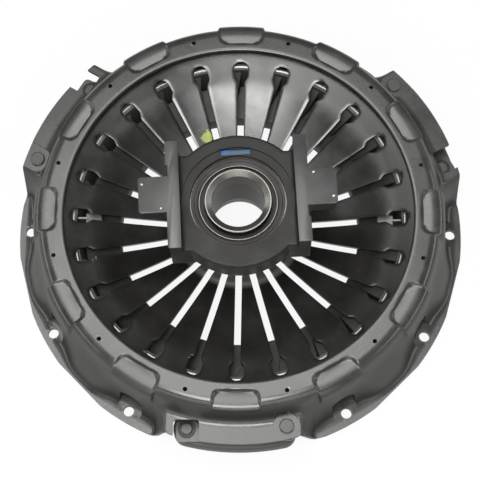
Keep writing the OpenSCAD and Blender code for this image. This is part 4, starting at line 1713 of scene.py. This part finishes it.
@dataclass
class Studio:
    """The camera, floor and soft light of the photograph."""

    # Camera: its angles, its distance and shift, its focal length and the picture in pixels
    elevation: float = 71.72
    roll: float = 3.117
    yaw: float = 3.733
    distance: float = 1597.5
    shift: Point = (0.018, -5.291)
    focal_px: float = 1481.7
    picture_px: float = 480.0
    sensor: float = 36.0
    # Floor and world, in metres and shares of white
    floor_size: float = 30.0
    floor_drop: float = 0.0005
    floor_white: float = 0.85
    floor_shown: float = 0.9
    clip_end: float = 60.0
    world_level: float = 0.14
    lamps: tuple[Lamp, ...] = (
        Lamp("key", -3.0, -15.0, 2.1, 0.62, 0.72, 14.0),
        Lamp("sky", -4.0, 13.0, 2.4, 1.1, 1.0, 5.6),
        Lamp("front_high", 0.0, -44.0, 2.4, 2.2, 0.36, 4.5),
        Lamp("front_low", 0.0, -65.0, 2.4, 3.2, 0.8, 1.5),
        Lamp("left_strip", -62.0, 0.0, 2.3, 2.6, 0.55, 3.4),
        Lamp("right_strip", 60.0, 0.0, 2.3, 2.6, 0.5, 3.4))

    def axes(self) -> Matrix:
        """Gives the camera's turn, from the fitted angles.

        Returns:
            The turn.
        """
        a, e, r = (math.radians(v) for v in (self.yaw, self.elevation, self.roll))
        back = Vector((math.sin(a) * math.cos(e), -math.cos(a) * math.cos(e), math.sin(e)))
        right = Vector((math.cos(a), math.sin(a), 0.0))
        up = back.cross(right)
        c, s = math.cos(r), math.sin(r)
        return Matrix((right * c - up * s, right * s + up * c, back)).transposed()

    def add_camera(self) -> None:
        """Adds the camera where the photograph was taken from."""
        data = bpy.data.cameras.new("portrait")
        data.sensor_width = self.sensor
        data.lens = self.focal_px / self.picture_px * self.sensor
        data.clip_end = self.clip_end
        camera = bpy.data.objects.new("portrait", data)
        bpy.context.scene.collection.objects.link(camera)
        turn = self.axes()
        place = turn @ Vector((*self.shift, self.distance)) * MM
        camera.matrix_world = Matrix.Translation(place) @ turn.to_4x4()
        bpy.context.scene.camera = camera

    def floor_paint(self) -> bpy.types.Material:
        """Builds the floor's paint, which shows white and keeps a faint shadow.

        Returns:
            The material.
        """
        paint = bpy.data.materials.new("floor_white")
        paint.use_nodes = True
        nodes, net = paint.node_tree.nodes, Net(paint.node_tree)
        shader = nodes["Principled BSDF"]
        net.feed(shader, {"Base Color": (*[self.floor_white] * 3, 1.0), "Roughness": 0.9})
        rays = net.add("LightPath").outputs
        seen = net.maths("MAXIMUM", rays["Is Camera Ray"], rays["Is Glossy Ray"])
        seen = net.maths("MAXIMUM", seen, rays["Is Transmission Ray"])
        glow = net.add("Emission", {"Color": (1.0, 1.0, 1.0, 1.0)}).outputs["Emission"]
        blend = net.add("MixShader", {"Fac": net.maths("MULTIPLY", seen, self.floor_shown),
                                      1: shader.outputs["BSDF"], 2: glow})
        net.feed(nodes["Material Output"], {"Surface": blend.outputs["Shader"]})
        return paint

    def add_floor(self) -> None:
        """Adds the pale floor."""
        clear_selection()
        bpy.ops.mesh.primitive_plane_add(size=self.floor_size, location=(0, 0, -self.floor_drop))
        floor = named("floor")
        floor.data.materials.append(self.floor_paint())

    def build(self) -> None:
        """Adds the camera, the floor, the world and the lamps."""
        scene = bpy.context.scene
        scene.view_settings.view_transform = "Standard"
        self.add_camera()
        self.add_floor()
        world = bpy.data.worlds.new("studio")
        world.use_nodes = True
        Net(world.node_tree).feed(world.node_tree.nodes["Background"], {
            "Color": (1.0, 1.0, 1.0, 1.0), "Strength": self.world_level})
        scene.world = world
        for lamp in self.lamps:
            lamp.add()


def main() -> None:
    """Loads the frame, builds each sub-assembly in order and reports it."""
    logging.basicConfig(level=logging.INFO, format="%(name)s: %(message)s", force=True)
    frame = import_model()
    Studio().build()
    LOG.info("studio ready")
    for name, finish in NODE_FINISHES.items():
        dress(frame["nodes"][name], finish)
    LOG.info("dressed %d CAD nodes", len(NODE_FINISHES))
    for part in (PressedCover(), DriveStraps(), FingerSpring(), CastPlate(), BearingHousing(),
                 FaceSeal(), WearPlates(), LockClip()):
        made = part.build()
        for piece in made if isinstance(made, list) else [made]:
            LOG.info("%s: %d faces", piece.name, len(piece.data.polygons))


if __name__ == "__main__":
    main()
